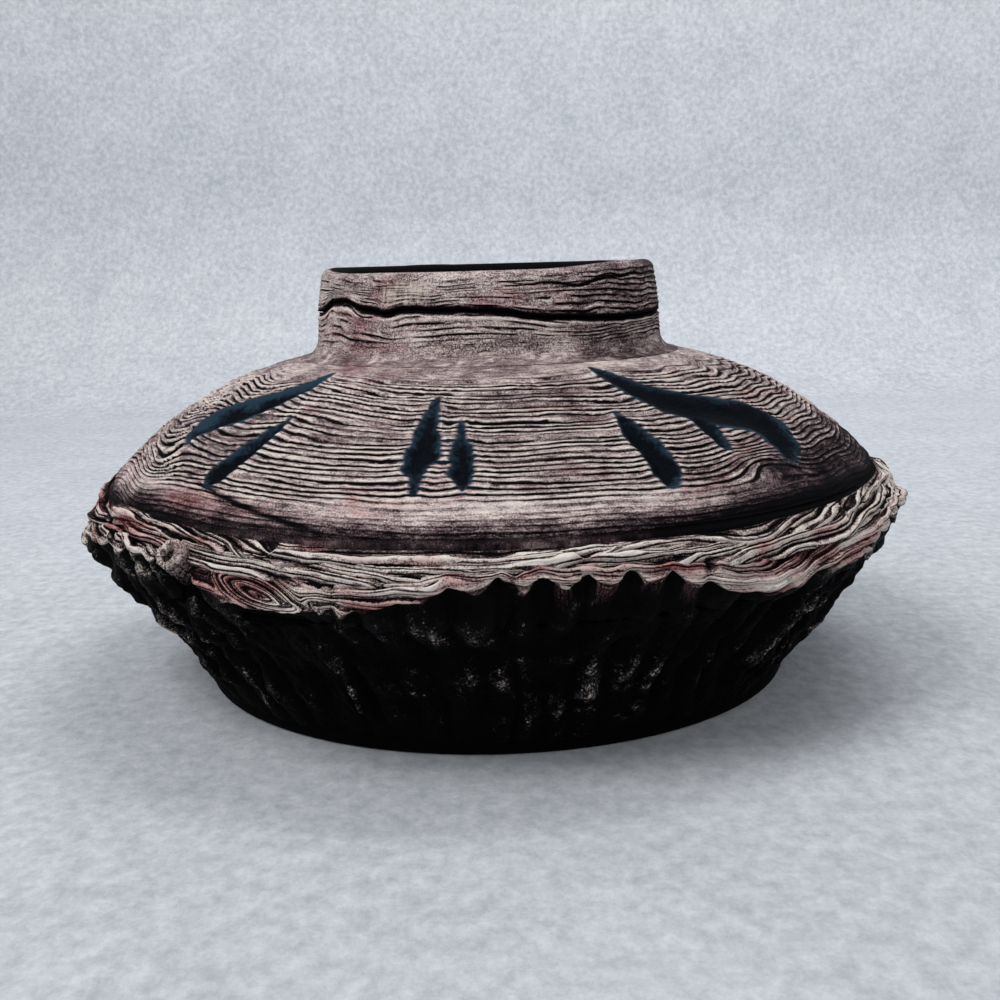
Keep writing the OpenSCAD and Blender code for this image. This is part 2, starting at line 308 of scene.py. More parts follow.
@dataclass(frozen=True)
class Cloud:
    """Cloudy noise of a finish: size of a lump, number and strength of finer layers, stretch, distortion."""

    size: float
    detail: float = 3.0
    rough: float = 0.55
    stretch: Place = (1, 1, 1)
    twist: float = 0.0


class Graph:
    """The nodes of one finish, wired step by step."""

    def __init__(self, name: str) -> None:
        """Start an empty material of the given name."""
        self.material = bpy.data.materials.new(name)
        self.material.use_nodes = True
        self.tree = self.material.node_tree
        self.tree.nodes.clear()
        self.place = self.tree.nodes.new("ShaderNodeTexCoord").outputs["Object"]

    def feed(self, socket: Socket, value: Union[Value, Paint]) -> None:
        """Link a socket to another, or set it to a number or colour."""
        if isinstance(value, bpy.types.NodeSocket):
            self.tree.links.new(value, socket)
        elif isinstance(value, tuple) and len(value) == 3 and socket.type == "RGBA":
            socket.default_value = (*value, 1.0)
        else:
            socket.default_value = value

    def attribute(self, name: str) -> Socket:
        """Read a number stored on the piece."""
        node = self.tree.nodes.new("ShaderNodeAttribute")
        node.attribute_name = name
        return node.outputs["Fac"]

    def grained(self, pitch: float) -> Socket:
        """Return the piece's own coordinates, with its grain lines, a pitch apart, in place of height."""
        parts = self.tree.nodes.new("ShaderNodeSeparateXYZ")
        whole = self.tree.nodes.new("ShaderNodeCombineXYZ")
        self.tree.links.new(self.place, parts.inputs["Vector"])
        for axis in ("X", "Y"):
            self.tree.links.new(parts.outputs[axis], whole.inputs[axis])
        self.feed(whole.inputs["Z"], self.math("MULTIPLY", self.attribute("grain"), pitch * MM))
        return whole.outputs["Vector"]

    def stretched(self, scale: Place, place: Optional[Socket] = None) -> Socket:
        """Return the piece's own coordinates, or others, stretched."""
        node = self.tree.nodes.new("ShaderNodeMapping")
        node.inputs["Scale"].default_value = scale
        self.tree.links.new(place or self.place, node.inputs["Vector"])
        return node.outputs["Vector"]

    def noise(self, cloud: Cloud, place: Optional[Socket] = None) -> Socket:
        """Add cloudy noise, a number around 0.5, on the piece's own coordinates or on others."""
        node = self.tree.nodes.new("ShaderNodeTexNoise")
        self.tree.links.new(self.stretched(cloud.stretch, place), node.inputs["Vector"])
        node.inputs["Scale"].default_value = 1 / (cloud.size * MM)
        node.inputs["Detail"].default_value = cloud.detail
        node.inputs["Roughness"].default_value = cloud.rough
        node.inputs["Distortion"].default_value = cloud.twist
        return node.outputs["Fac"]

    def math(self, kind: str, first: Value, second: Value = 0.0, third: Value = 0.0) -> Socket:
        """Work out one step of arithmetic."""
        node = self.tree.nodes.new("ShaderNodeMath")
        node.operation = kind
        for socket, value in zip(node.inputs, (first, second, third)):
            self.feed(socket, value)
        return node.outputs[0]

    def add(self, base: Value, value: Value, share: Value) -> Socket:
        """Add a share of one number to another."""
        return self.math("MULTIPLY_ADD", value, share, base)

    def sway(self, base: Value, noise: Socket, share: Value) -> Socket:
        """Add a share of a noise, counted from its middle, to a number."""
        return self.add(base, self.math("SUBTRACT", noise, 0.5), share)

    def step(self, value: Value, low: float, high: float, to: Pair = (0.0, 1.0)) -> Socket:
        """Map a number smoothly from low and high to two other numbers."""
        node = self.tree.nodes.new("ShaderNodeMapRange")
        node.interpolation_type = "SMOOTHSTEP"
        for name, number in (("Value", value), ("From Min", low), ("From Max", high),
                             ("To Min", to[0]), ("To Max", to[1])):
            self.feed(node.inputs[name], number)
        return node.outputs["Result"]

    def ramp(self, value: Value, stops: Sequence[tuple[float, Colour]]) -> Socket:
        """Colour a number by a row of stops."""
        node = self.tree.nodes.new("ShaderNodeValToRGB")
        band = node.color_ramp
        while len(band.elements) < len(stops):
            band.elements.new(0.5)
        for element, (place, colour) in zip(band.elements, stops):
            element.position = place
            element.color = (*colour, 1.0)
        self.feed(node.inputs["Fac"], value)
        return node.outputs["Color"]

    def mix(self, share: Value, first: Paint, second: Paint, kind: str = "MIX") -> Socket:
        """Lay one colour over another."""
        node = self.tree.nodes.new("ShaderNodeMix")
        node.data_type = "RGBA"
        node.blend_type = kind
        for index, value in ((0, share), (6, first), (7, second)):
            self.feed(node.inputs[index], value)
        return node.outputs[2]

    def close(self, colour: Paint, roughness: Value, bumps: Socket, relief: float,
              gloss: float) -> bpy.types.Material:
        """End the finish in one surface shader.

        Args:
            colour: base colour.
            roughness: surface roughness.
            bumps: the finest relief, as shares of its height.
            relief: height of that relief in millimetres.
            gloss: strength of the surface's gloss.

        Returns:
            The finished material.
        """
        shader = self.tree.nodes.new("ShaderNodeBsdfPrincipled")
        shader.inputs["Specular IOR Level"].default_value = gloss
        self.feed(shader.inputs["Base Color"], colour)
        self.feed(shader.inputs["Roughness"], roughness)
        node = self.tree.nodes.new("ShaderNodeBump")
        node.inputs["Distance"].default_value = relief * MM
        self.tree.links.new(bumps, node.inputs["Height"])
        self.tree.links.new(node.outputs["Normal"], shader.inputs["Normal"])
        output = self.tree.nodes.new("ShaderNodeOutputMaterial")
        self.tree.links.new(shader.outputs["BSDF"], output.inputs["Surface"])
        return self.material


@dataclass(frozen=True)
class SlipShadeFinish:
    """Near-black slip, darkened further as painted shade of the shadowed lower body, rubbed grey and cream
    on its crests.
    """

    name: str
    # deep and skin are nearly black: dark slip with painted shade of the lower body
    deep: Colour = srgb(1, 1, 1)
    skin: Colour = srgb(3, 3, 4)
    worn: Colour = srgb(70, 66, 68)
    bare: Colour = srgb(184, 170, 156)
    grit_share: float = 1.9
    patch_share: float = 1.3
    broad_share: float = 1.2
    grit: Cloud = Cloud(0.8, 4.0, 0.7)
    patch: Cloud = Cloud(5.0, 4.0, 0.65)
    broad: Cloud = Cloud(24.0, 2.0, 0.5)
    fine_bumps: Cloud = Cloud(1.0, 5.0, 0.65)
    broad_bumps: Cloud = Cloud(5.0, 4.0, 0.6)
    roughness: Pair = (0.65, 0.9)
    relief: float = 0.7
    gloss: float = 0.04

    def colour(self, graph: Graph) -> Socket:
        """Colour the slip by how far a point stands out."""
        rubbed = graph.sway(graph.attribute("lift"), graph.noise(self.grit), self.grit_share)
        rubbed = graph.sway(rubbed, graph.noise(self.patch), self.patch_share)
        rubbed = graph.sway(rubbed, graph.noise(self.broad), self.broad_share)
        return graph.ramp(rubbed, ((0.0, self.deep), (0.6, self.skin), (0.85, self.worn), (1.0, self.bare)))

    def material(self) -> bpy.types.Material:
        """Wire the finish."""
        graph = Graph(self.name)
        fine = graph.noise(self.fine_bumps)
        bumps = graph.math("ADD", fine, graph.noise(self.broad_bumps))
        rough = graph.step(fine, 0.3, 0.7, self.roughness)
        return graph.close(self.colour(graph), rough, bumps, self.relief, self.gloss)


@dataclass(frozen=True)
class BarkFinish:
    """Matt clay with dark stain and painted shade in its grain, and dry-brushed crests with a painted
    highlight.
    """

    name: str
    crest: Colour = srgb(208, 193, 187)
    body: Colour = srgb(134, 116, 117)
    low: Colour = srgb(52, 40, 44)
    recess: Colour = srgb(5, 4, 7)
    red: Colour = (0.64, 0.29, 0.3)
    rub: Colour = srgb(222, 214, 206)
    scuffed: Colour = srgb(204, 190, 178)
    gouge: Colour = srgb(0, 4, 11)
    gouge_edge: Colour = srgb(32, 52, 66)
    red_share: float = 0.6
    plain_tone: float = 0.52
    patch_share: float = 0.8
    broad_share: float = 0.5
    edge_share: float = 0.3
    groove_share: float = -0.88
    shade_share: float = -0.55
    grain_pitch: float = 1.8
    fine: Cloud = Cloud(1.1, 6.0, 0.64, (0.26, 0.26, 1.5), 0.25)
    speck: Cloud = Cloud(0.55, 3.0, 0.7)
    patch: Cloud = Cloud(9.0, 4.0, 0.6, (0.6, 0.6, 1.6))
    broad: Cloud = Cloud(38.0, 3.0, 0.5, (0.8, 0.8, 1.6), 0.6)
    blush: Cloud = Cloud(30.0, 4.0, 0.62, (0.7, 0.7, 2.0), 0.9)
    strokes: Cloud = Cloud(1.3, 3.0, 0.65, (1, 1, 0.07))
    streaks: Cloud = Cloud(1.6, 4.0, 0.65, (1, 1, 0.35))
    roughness: Pair = (0.85, 0.6)
    relief: float = 0.55
    gloss: float = 0.06
    # The bowl's black slip, partly painted shade, laid on the lip below its hem
    char: SlipShadeFinish = SlipShadeFinish("black slip")

    def grooves(self, graph: Graph, fine: Socket, patch: Socket) -> tuple[Socket, Socket]:
        """Draw the grain as overlapping layers: a dark groove under each pale edge.

        Args:
            graph: the finish being wired.
            fine: fine noise that frays the lines.
            patch: broader noise that bends them.

        Returns:
            The share of groove and the share of pale edge.
        """
        bite = graph.attribute("bite")
        wander = graph.add(graph.add(-0.21, fine, 0.26), patch, 0.16)
        phase = graph.math("FRACT", graph.math("ADD", graph.attribute("grain"), wander))
        away = graph.math("ABSOLUTE", graph.math("SUBTRACT", phase, 0.15))
        # The groove is stain and painted shade under the layer above; the edge is dry-brush and painted
        # highlight
        groove = graph.math("MULTIPLY", graph.step(away, 0.24, 0.08), bite)
        edge = graph.math("MULTIPLY", graph.step(phase, 0.5, 0.84), graph.step(phase, 1.0, 0.93))
        return groove, graph.math("MULTIPLY", edge, bite)

    def tone(self, graph: Graph, fine: Socket, speck: Socket, patch: Socket) -> Socket:
        """Work out how pale the clay is between its grooves.

        Args:
            graph: the finish being wired.
            fine: fine noise along the grain.
            speck: finest noise, for the grit.
            patch: broader noise.

        Returns:
            A number from 0 in a recess to 1 on a rubbed crest.
        """
        tone = graph.sway(self.plain_tone, fine, graph.add(0.95, graph.attribute("bite"), 0.8))
        tone = graph.sway(tone, patch, self.patch_share)
        tone = graph.sway(tone, graph.noise(self.broad), self.broad_share)
        tone = graph.sway(tone, speck, graph.add(0.7, graph.attribute("grit"), 1.3))
        return graph.add(tone, graph.attribute("shade"), self.shade_share)

    def scratched(self, graph: Graph, colour: Socket, speck: Socket) -> Socket:
        """Rub the clay pale in fine upright strokes where it is scuffed."""
        scuff = graph.attribute("scuff")
        worn = graph.sway(graph.sway(scuff, graph.noise(self.strokes), 3.6), speck, 1.0)
        worn = graph.math("MULTIPLY", worn, graph.step(scuff, 0.1, 0.6))
        return graph.mix(graph.step(worn, 0.35, 1.3, (0.0, 0.9)), colour, self.scuffed)

    def gouged(self, graph: Graph, colour: Socket, speck: Socket, patch: Socket, groove: Socket) -> Socket:
        """Stain the gouges slate at their edges and blue-black inside, running out into the grooves.

        Args:
            graph: the finish being wired.
            colour: colour of the clay without gouges.
            speck: finest noise, which frays the edges.
            patch: broader noise that mottles the stain.
            groove: share of groove.

        Returns:
            The stained colour.
        """
        depth = graph.add(graph.attribute("hollow"), groove, 1.6)
        depth = graph.sway(graph.sway(depth, speck, 3.0), patch, 1.6)
        floor = graph.sway(graph.sway(depth, graph.noise(self.streaks), 6.0), patch, 7.0)
        floor = graph.math("SUBTRACT", floor, graph.attribute("slate"))
        stain = graph.mix(graph.step(floor, -1.0, 2.6), self.gouge_edge, self.gouge)
        return graph.mix(graph.step(depth, -0.5, 0.7), colour, stain)

    def material(self) -> bpy.types.Material:
        """Wire the finish."""
        graph = Graph(self.name)
        fine = graph.noise(self.fine, graph.grained(self.grain_pitch))
        speck = graph.noise(self.speck)
        patch = graph.noise(self.patch)
        groove, edge = self.grooves(graph, fine, patch)

        tone = self.tone(graph, fine, speck, patch)
        tone = graph.add(graph.add(tone, edge, self.edge_share), groove, self.groove_share)
        stops = ((0.0, self.recess), (0.26, self.low), (0.52, self.body), (0.8, self.crest),
                 (1.0, self.rub))
        colour = graph.ramp(tone, stops)
        blush = graph.step(graph.noise(self.blush), 0.52, 0.7)
        blushing = graph.add(graph.attribute("warm"), blush, self.red_share)
        colour = graph.mix(graph.math("MINIMUM", blushing, 1.0), colour, self.red, "MULTIPLY")
        colour = self.scratched(graph, colour, speck)
        colour = self.gouged(graph, colour, speck, patch, groove)
        # Where char is set, the black slip, partly painted shade, takes over the colour
        slip_shading = graph.sway(graph.sway(graph.attribute("char"), patch, 0.6), speck, 0.5)
        colour = graph.mix(graph.step(slip_shading, 0.35, 0.65), colour, self.char.colour(graph))

        rough = graph.step(tone, 0.1, 0.9, self.roughness)
        bumps = graph.add(graph.math("MULTIPLY", speck, 0.35), fine, 0.9)
        bumps = graph.add(graph.add(bumps, groove, -1.1), edge, 0.5)
        return graph.close(colour, rough, bumps, self.relief, self.gloss)


@dataclass(frozen=True)
class DarkInside:
    """Unglazed clay of the seam coil, inside the vessel, made dark as painted shade of the inside."""

    name: str
    light: Colour = srgb(34, 30, 30)
    dark: Colour = srgb(12, 10, 11)
    smears: Cloud = Cloud(1.4, 5.0, 0.6, (0.5, 0.5, 2.0))
    roughness: Pair = (0.85, 0.65)
    relief: float = 0.4
    gloss: float = 0.15

    def material(self) -> bpy.types.Material:
        """Wire the finish."""
        graph = Graph(self.name)
        fine = graph.noise(self.smears)
        colour = graph.ramp(fine, ((0.3, self.dark), (0.75, self.light)))
        return graph.close(colour, graph.step(fine, 0.2, 0.8, self.roughness), fine, self.relief, self.gloss)


@dataclass(frozen=True)
class FeltFinish:
    """Pale grey felt of the floor and backdrop, with a faint mottle."""

    name: str
    light: Colour = srgb(205, 208, 213)
    dark: Colour = srgb(170, 175, 181)
    mottle: Cloud = Cloud(6.5, 6.0, 0.75, (1, 0.8, 1))
    broad: Cloud = Cloud(60.0, 3.0, 0.5)
    broad_share: float = 0.2
    roughness: float = 0.95
    relief: float = 0.5
    gloss: float = 0.1

    def material(self) -> bpy.types.Material:
        """Wire the finish."""
        graph = Graph(self.name)
        mottle = graph.noise(self.mottle)
        tone = graph.sway(mottle, graph.noise(self.broad), self.broad_share)
        colour = graph.ramp(tone, ((0.34, self.dark), (0.66, self.light)))
        return graph.close(colour, self.roughness, mottle, self.relief, self.gloss)


@dataclass(frozen=True)
class Gouge:
    """A hollow scooped out of the shoulder along a short path: angles, runs down the dome and widths."""

    angles: tuple[float, ...]
    runs: tuple[float, ...]
    widths: tuple[float, ...]
    depth: float = 3.2
    ragged: float = 0.7
    slate: float = 0.0

    def edge(self, angle: Array, run: Array, dome: "ShoulderDome", turn: float, hand: int) -> Array:
        """Measure how far inside the hollow each point lies.

        Args:
            angle: degrees of each point.
            run: millimetres down the dome of each point.
            dome: the shoulder that is scooped.
            turn: degrees by which the hollow is moved round.
            hand: 1, or -1 for a mirrored hollow.

        Returns:
            Millimetres inside the edge, negative outside it.
        """
        best = np.full(np.broadcast(angle, run).shape, FAR_FROM_GOUGE)
        spots = list(zip(self.angles, self.runs, self.widths))
        for (angle_a, run_a, width_a), (angle_b, run_b, width_b) in zip(spots, spots[1:]):
            middle = turn + hand * (angle_a + angle_b) / 2
            reach = dome.radius_down((run_a + run_b) / 2)
            across = np.radians(around_turn(angle, middle)) * reach
            half_x = math.radians(hand * (angle_b - angle_a)) * reach / 2
            drop = run_b - run_a
            share = (across + half_x) * 2 * half_x + (run - run_a) * drop
            share = np.clip(share / (4 * half_x * half_x + drop * drop), 0.0, 1.0)
            away = np.hypot(across + half_x - share * 2 * half_x, run - run_a - share * drop)
            half = (width_a + (width_b - width_a) * share) / 2
            best = np.maximum(best, half - away)
        return best


GOUGES = (
    Gouge((-40.3, -41.5, -45, -50, -55, -56, -54.5), (10, 23, 33, 41, 48, 55, 61),
          (3, 10, 15, 19, 18, 11, 3), slate=3.4),
    Gouge((-35.5, -36.6, -37.6, -38.6, -39.6, -40.6, -40.9), (43, 50, 56, 61.5, 66.8, 71.8, 75.5),
          (1.2, 6.5, 8.4, 9.6, 10.4, 10, 5), 3.0),
    Gouge((-9.4, -9.6, -9.7, -9.4, -9.6, -10.3, -9.8, -9.6), (29, 40, 47, 53, 59, 63.5, 66.5, 75),
          (2, 5.4, 7.6, 10.4, 12.8, 9.6, 3.4, 2.4), 2.4, 1.2),
    Gouge((-4.5, -4.2, -4, -3.9, -3.7, -3.5, -3.5), (42, 49.5, 55.4, 60.8, 66, 70.2, 74),
          (1.2, 3.4, 6.2, 8.4, 9, 6.8, 1.8), 2.4, 0.9),
    Gouge((25, 27.2, 29, 32.5, 37, 42, 46.5, 48.3, 47.8, 46.2), (9, 19, 28, 37, 43.5, 48, 52, 58, 65, 72),
          (3, 9.5, 13, 17, 19, 20, 21, 21, 17, 8), slate=1.6),
    Gouge((35.2, 35.3, 35.5, 35.8), (50, 57, 62.5, 66), (9.5, 8, 5.6, 1.5), 2.2),
    Gouge((21.2, 21.6, 22, 23, 23.4, 23.5, 23.3, 23), (42, 48, 54.5, 60, 64.8, 70.5, 74.7, 77.5),
          (1.5, 7, 9, 10.4, 10.8, 11, 8, 2.4), 3.0),
)
# Turn and hand of the gouges in front, and of their mirror images behind
GOUGE_SETS = ((0.0, 1), (180.0, -1))
SCRATCHES = ClayNoise(29.0, 90, 3.0, 3)


@dataclass(frozen=True)
class Knot:
    """A knot that lifts the shoulder's grain lines: where it is, how large, and by how many lines."""

    angle: float
    run: float
    wide: float
    tall: float
    rise: float
    reach: float = 140.0

    def lift(self, angle: Array, run: Array) -> Array:
        """Return the number of lines by which the grain is lifted at each point."""
        across = np.radians(around_turn(angle, self.angle)) * self.reach
        return self.rise * np.exp(-(across / self.wide) ** 2 - ((run - self.run) / self.tall) ** 2)


@dataclass
class ShoulderDome:
    """The domed, bark-grained shoulder with its gouges."""

    arc_r: float = 131.0
    axis_r: float = 54.98
    edge_r: float = 155.5
    edge_z: float = 84.0
    seam_z: float = 76.0
    top_z: float = 129.0
    seat_r: float = 70.0
    mouth_r: float = 60.0
    wall: float = 9.0
    rows: int = 194
    edge_rows: int = 5
    inner_rows: int = 9
    steps: int = 460
    focus: float = 20.0
    grain_from: Pair = (8.0, 23.0)
    grain_to: Pair = (77.0, 81.0)
    line_rate: float = 52.0
    line_crowding: float = 0.0052
    layers: int = 8
    layer_depth: float = 0.7
    layer_hollow: float = 5.0
    collar_run: float = 15.0
    crack_run: float = 77.3
    crack_slope: float = 0.6
    crack_w: float = 0.9
    crack_depth: float = 0.9
    crack_angles: Pair = (-42.0, -25.0)
    lump_h: float = 0.8
    grit_h: float = 0.2
    rim_h: float = 0.25
    gully_depth: float = 1.2
    chalk_from: Pair = (76.0, 79.0)
    chalk_to: Pair = (83.0, 86.0)
    flush_at: Pair = (-43.0, 7.0)
    # Centre and spread of the painted shade in the hollow at the left, above the belt
    speckled_at: Pair = (-50.0, 9.0)
    inner_shade: float = 1.8
    drift: ClayNoise = ClayNoise(3.1, 9, 34.0)
    waver: ClayNoise = ClayNoise(5.7, 30, 9.0, 2)
    calm: ClayNoise = ClayNoise(2.2, 7, 40.0)
    layer_drift: ClayNoise = ClayNoise(7.3, 10, 30.0, 2)
    dashes: ClayNoise = ClayNoise(11.0, 40, 3.1, 3)
    ragged: ClayNoise = ClayNoise(17.0, 150, 4.2, 2)
    patchy: ClayNoise = ClayNoise(19.0, 36, 16.0, 2)
    lumps: ClayNoise = ClayNoise(21.0, 22, 30.0, 3)
    grit: ClayNoise = ClayNoise(25.0, 180, 4.0, 2)
    chalk: ClayNoise = ClayNoise(27.0, 12, 14.0, 2)
    knots: tuple[Knot, ...] = (
        Knot(40.0, 73.0, 14.0, 7.0, 3.0), Knot(-57.0, 72.0, 12.0, 6.0, -1.6),
        Knot(-80.0, 60.0, 15.0, 8.0, 2.4), Knot(85.0, 70.0, 16.0, 7.0, 2.4),
        Knot(150.0, 66.0, 15.0, 7.0, -2.4), Knot(205.0, 71.0, 18.0, 7.0, 2.6))

    @property
    def tilts(self) -> Pair:
        """Return the turns of the outer arc, in radians, at the edge and at the neck."""
        return math.asin(self.edge_z / self.arc_r), math.asin(self.top_z / self.arc_r)

    @property
    def run_length(self) -> float:
        """Return the length of the outer arc from the neck to the edge."""
        return self.arc_r * (self.tilts[1] - self.tilts[0])

    def radius_down(self, run: float) -> float:
        """Return the radius of the plain dome at a length down from the neck."""
        return self.axis_r + self.arc_r * math.cos(self.tilts[1] - run / self.arc_r)

    def outline(self) -> tuple[Array, Array]:
        """Lay out the section of the dome.

        Returns:
            The outline's points, and how far down the outer arc each lies (-1 off the arc).
        """
        low, high = self.tilts
        tilt = np.linspace(low, high, self.rows)
        inner_r = self.arc_r - self.wall
        side_r = self.edge_r - self.wall
        inner_low = math.acos((side_r - self.axis_r) / inner_r)
        inner_high = math.acos((self.mouth_r - self.axis_r) / inner_r)
        centre = (self.axis_r, 0.0)
        inner = arc(centre, inner_r, np.linspace(inner_high, inner_low, self.inner_rows))
        upright = ((self.edge_r, self.seam_z), (self.edge_r, self.edge_z))
        edge = densify(upright, (self.edge_rows, 1))[:self.edge_rows]
        seat = np.array([[self.seat_r, self.top_z], [self.mouth_r, self.top_z]])
        under = np.array([[side_r, self.seam_z]])
        points = np.concatenate([edge, arc(centre, self.arc_r, tilt), seat, inner, under])
        run = np.full(len(points), -1.0)
        run[len(edge):len(edge) + self.rows] = self.arc_r * (high - tilt)
        return points, run

    def layering(self, angle: Array, run: Array) -> Array:
        """Return how far each point lies in the hollow under one of the main layers, between 0 and 1."""
        pitch = (self.run_length - self.collar_run) / self.layers
        wander = 1.6 * self.layer_drift.at(angle, run)
        below = run - self.collar_run + wander * ease(run, self.collar_run, self.collar_run + pitch)
        past = np.where(below > 0, np.mod(below, pitch), pitch)
        return np.clip(1 - past / self.layer_hollow, 0.0, 1.0)

    def grain(self, angle: Array, run: Array, hollow: Array) -> Array:
        """Count the grain lines down to each point, with their drift, ripples and knots.

        Args:
            angle: degrees of each point.
            run: millimetres down the dome of each point.
            hollow: millimetres inside a gouge's edge.

        Returns:
            The count, whole at each groove.
        """
        side = np.sin(np.radians(angle))
        calm = self.calm.at(angle, run)
        lines = -self.line_rate * np.log(1 - self.line_crowding * run)
        lines = lines + 2.2 * between(-angle, (6.0, 42.0), (60.0, 95.0))
        lines = lines + 1.2 * self.drift.at(angle, run) + 0.45 * self.waver.at(angle, run)
        ripple = 0.05 + 0.55 * ease(side, 0.5, 0.85) * (0.75 + 0.4 * calm)
        lines = lines + ripple * np.sin(np.radians(24 * angle + 60 * calm + 2 * run))
        swing = 0.9 * ease(-side, 0.55, 0.9)
        lines = lines + swing * np.sin(np.radians(13 * angle + 120 * calm - 6 * run))
        lines = lines + 0.3 * ease(hollow, -7.0, 0.0)
        for knot in self.knots:
            lines = lines + knot.lift(angle, run)
        return lines

    def hollows(self, angle: Array, run: Array) -> tuple[Array, Array, Array]:
        """Measure the gouges.

        Args:
            angle: degrees of each point.
            run: millimetres down the dome of each point.

        Returns:
            Millimetres inside the nearest gouge's edge, the depth to which it is scooped, and how far
            its pale slate edge reaches in.
        """
        ragged = self.ragged.at(angle, run)
        patchy = np.maximum(0.6 + 1.2 * self.patchy.at(angle, run), 0.0)
        inside = np.full(np.broadcast(angle, run).shape, FAR_FROM_GOUGE)
        scoop, slate = np.zeros_like(inside), np.zeros_like(inside)
        for turn, hand in GOUGE_SETS:
            for gouge in GOUGES:
                edge = gouge.edge(angle, run, self, turn, hand) + gouge.ragged * ragged
                inside = np.maximum(inside, edge)
                scoop = np.maximum(scoop, gouge.depth * ease(edge, -0.3, 0.42 * max(gouge.widths)))
                slate = np.maximum(slate, gouge.slate * patchy * ease(edge, -2.0, 0.0))
        return inside, scoop, slate

    def bite(self, angle: Array, run: Array, lines: Array, hollow: Array) -> Array:
        """Return how deep the grain is cut: in dashes, and neither at the collar and edge nor in gouges.

        Args:
            angle: degrees of each point.
            run: millimetres down the dome of each point.
            lines: count of the grain lines down to each point.
            hollow: millimetres inside a gouge's edge.

        Returns:
            The depth, between 0 and 1.
        """
        dashes = self.dashes.at(angle, lines * 4.0)
        bite = ease(dashes, -0.8, 0.35) * ease(run, *self.grain_from)
        bite = bite * (1 - 0.7 * ease(run, *self.grain_to))
        return bite * (1 - ease(hollow + 0.6 * dashes, -0.5, 0.9))

    def crack(self, angle: Array, run: Array) -> Array:
        """Return the dark crack that runs off the left gouge, between 0 and 1."""
        first, last = self.crack_angles
        away = run - self.crack_run - self.crack_slope * (angle - first)
        return np.exp(-(away / self.crack_w) ** 2) * between(angle, (first - 2, first), (last, last + 6))

    def smudges_and_shade(self, angle: Array, run: Array) -> Array:
        """Return the painted shade on the dome's right side and in the crease above the belt, with the pale
        chalk rubs and scratches; dark above 0 and pale below it.
        """
        chalk = between(run, self.chalk_from, self.chalk_to) * (0.5 + 0.6 * self.chalk.at(angle, run))
        # right: painted shade on the dome's right side, away from the light
        right = between(angle, (18.0, 48.0), (78.0, 100.0)) * ease(run, 52.0, 80.0)
        # speckled: painted shade in the crease above the belt, deepest to the right and in the hollow at the
        # left
        speckled = ease(run, 84.0, 89.0) * (0.35 + 0.6 * ease(angle, 0.0, 40.0))
        speckled = speckled + 0.7 * bump(angle, *self.speckled_at) * ease(run, 80.0, 86.0)
        scratched = ease(SCRATCHES.at(angle, run), 0.2, 0.5) * (1 - ease(run, 4.0, 12.0))
        return 0.7 * speckled + 0.7 * right - 0.35 * chalk * (1 - right) - 0.4 * scratched - 0.06

    def build(self, material: bpy.types.Material) -> None:
        """Wrap, sculpt and dress the shoulder."""
        points, run = self.outline()
        grid = WrappedGrid("shoulder", len(points), self.steps, focus=self.focus)
        angle = grid.angles
        radius, height = points[:, :1] + 0 * angle, points[:, 1:] + 0 * angle
        out_r, out_z = outward(radius, height)
        face = (run >= 0)[:, None]
        down = np.maximum(run, 0.0)[:, None]

        hollow, scoop, slate = self.hollows(angle, down)
        lines = self.grain(angle, down, hollow)
        bite = self.bite(angle, down, lines, hollow)
        step = self.layering(angle, down) * (1 - ease(hollow, -1.0, 1.0))
        lumps = self.lumps.at(angle, down)
        gully = ease(down, self.run_length - 4.0, self.run_length - 0.5)
        rim = between(hollow, (-2.4, -0.6), (-0.6, 0.0))
        crack = self.crack(angle, down)
        stand = 0.75 + 0.6 * ease(-np.sin(np.radians(angle)), 0.55, 0.9)
        relief = self.lump_h * lumps + self.grit_h * self.grit.at(angle, down)
        relief = relief + stand * (shingled(lines) - 0.7) * bite - self.layer_depth * step
        relief = relief - scoop + self.rim_h * rim - self.crack_depth * crack - self.gully_depth * gully
        relief = relief * ease(down, 0.0, 9.0) * face
        piece = grid.make(radius + out_r * relief, height + out_z * relief)

        # Painted shade in the gully where the dome meets the belt
        shade = self.smudges_and_shade(angle, down) + 0.45 * gully * (0.8 + 0.5 * lumps)
        # Painted shade in the hollow under each main layer, and a painted highlight on each gouge's raised
        # rim
        shade = shade + 0.2 * step * bite - 0.2 * rim + 1.1 * crack
        # Off the arc: painted shade on the upright edge under the belt, darker to the right
        upright = 0.55 + 0.65 * ease(angle, 0.0, 30.0)
        # Painted shade on the dome's inner faces
        hidden = np.where(radius > self.edge_r - 1.0, upright, self.inner_shade)
        flush = bump(angle, *self.flush_at) * np.exp(-((down - 84.0) / 5) ** 2)
        attach(piece, grain=np.where(face, lines, 0.0), bite=np.where(face, bite, 0.0),
               hollow=np.where(face, hollow, FAR_FROM_GOUGE), slate=np.where(face, slate, 0.0),
               warm=np.where(face, 0.8 * flush, 0.0), grit=0.45 * face + 0 * relief,
               shade=np.where(face, shade, hidden))
        settle(piece, material, "shoulder_dome")


class Band(Enum):
    """The two rings of the neck."""

    BASE = "neck_base_band"
    RIM = "neck_rim_band"


@dataclass(frozen=True)
class Tear:
    """An open tear in the neck: its middle and half length in degrees, and how far below the top it is."""

    middle: float
    half: float
    below: float
    width: float = 0.9

    def depth(self, angle: Array, height: Array, top_z: float) -> Array:
        """Return how deep the tear is at each point, between 0 and 1."""
        away = around_turn(angle, self.middle)
        line = top_z - self.below - 2.2 * np.exp(-((away + 5) / 9) ** 2)
        line = line + 0.5 * np.sin(np.radians(away * 21))
        width = self.width * np.sqrt(np.clip(1 - (away / self.half) ** 2, 0.0, 1.0)) + 0.01
        return (1 - ease(np.abs(height - line) / width, 0.4, 1.2)) * (np.abs(away) < self.half)


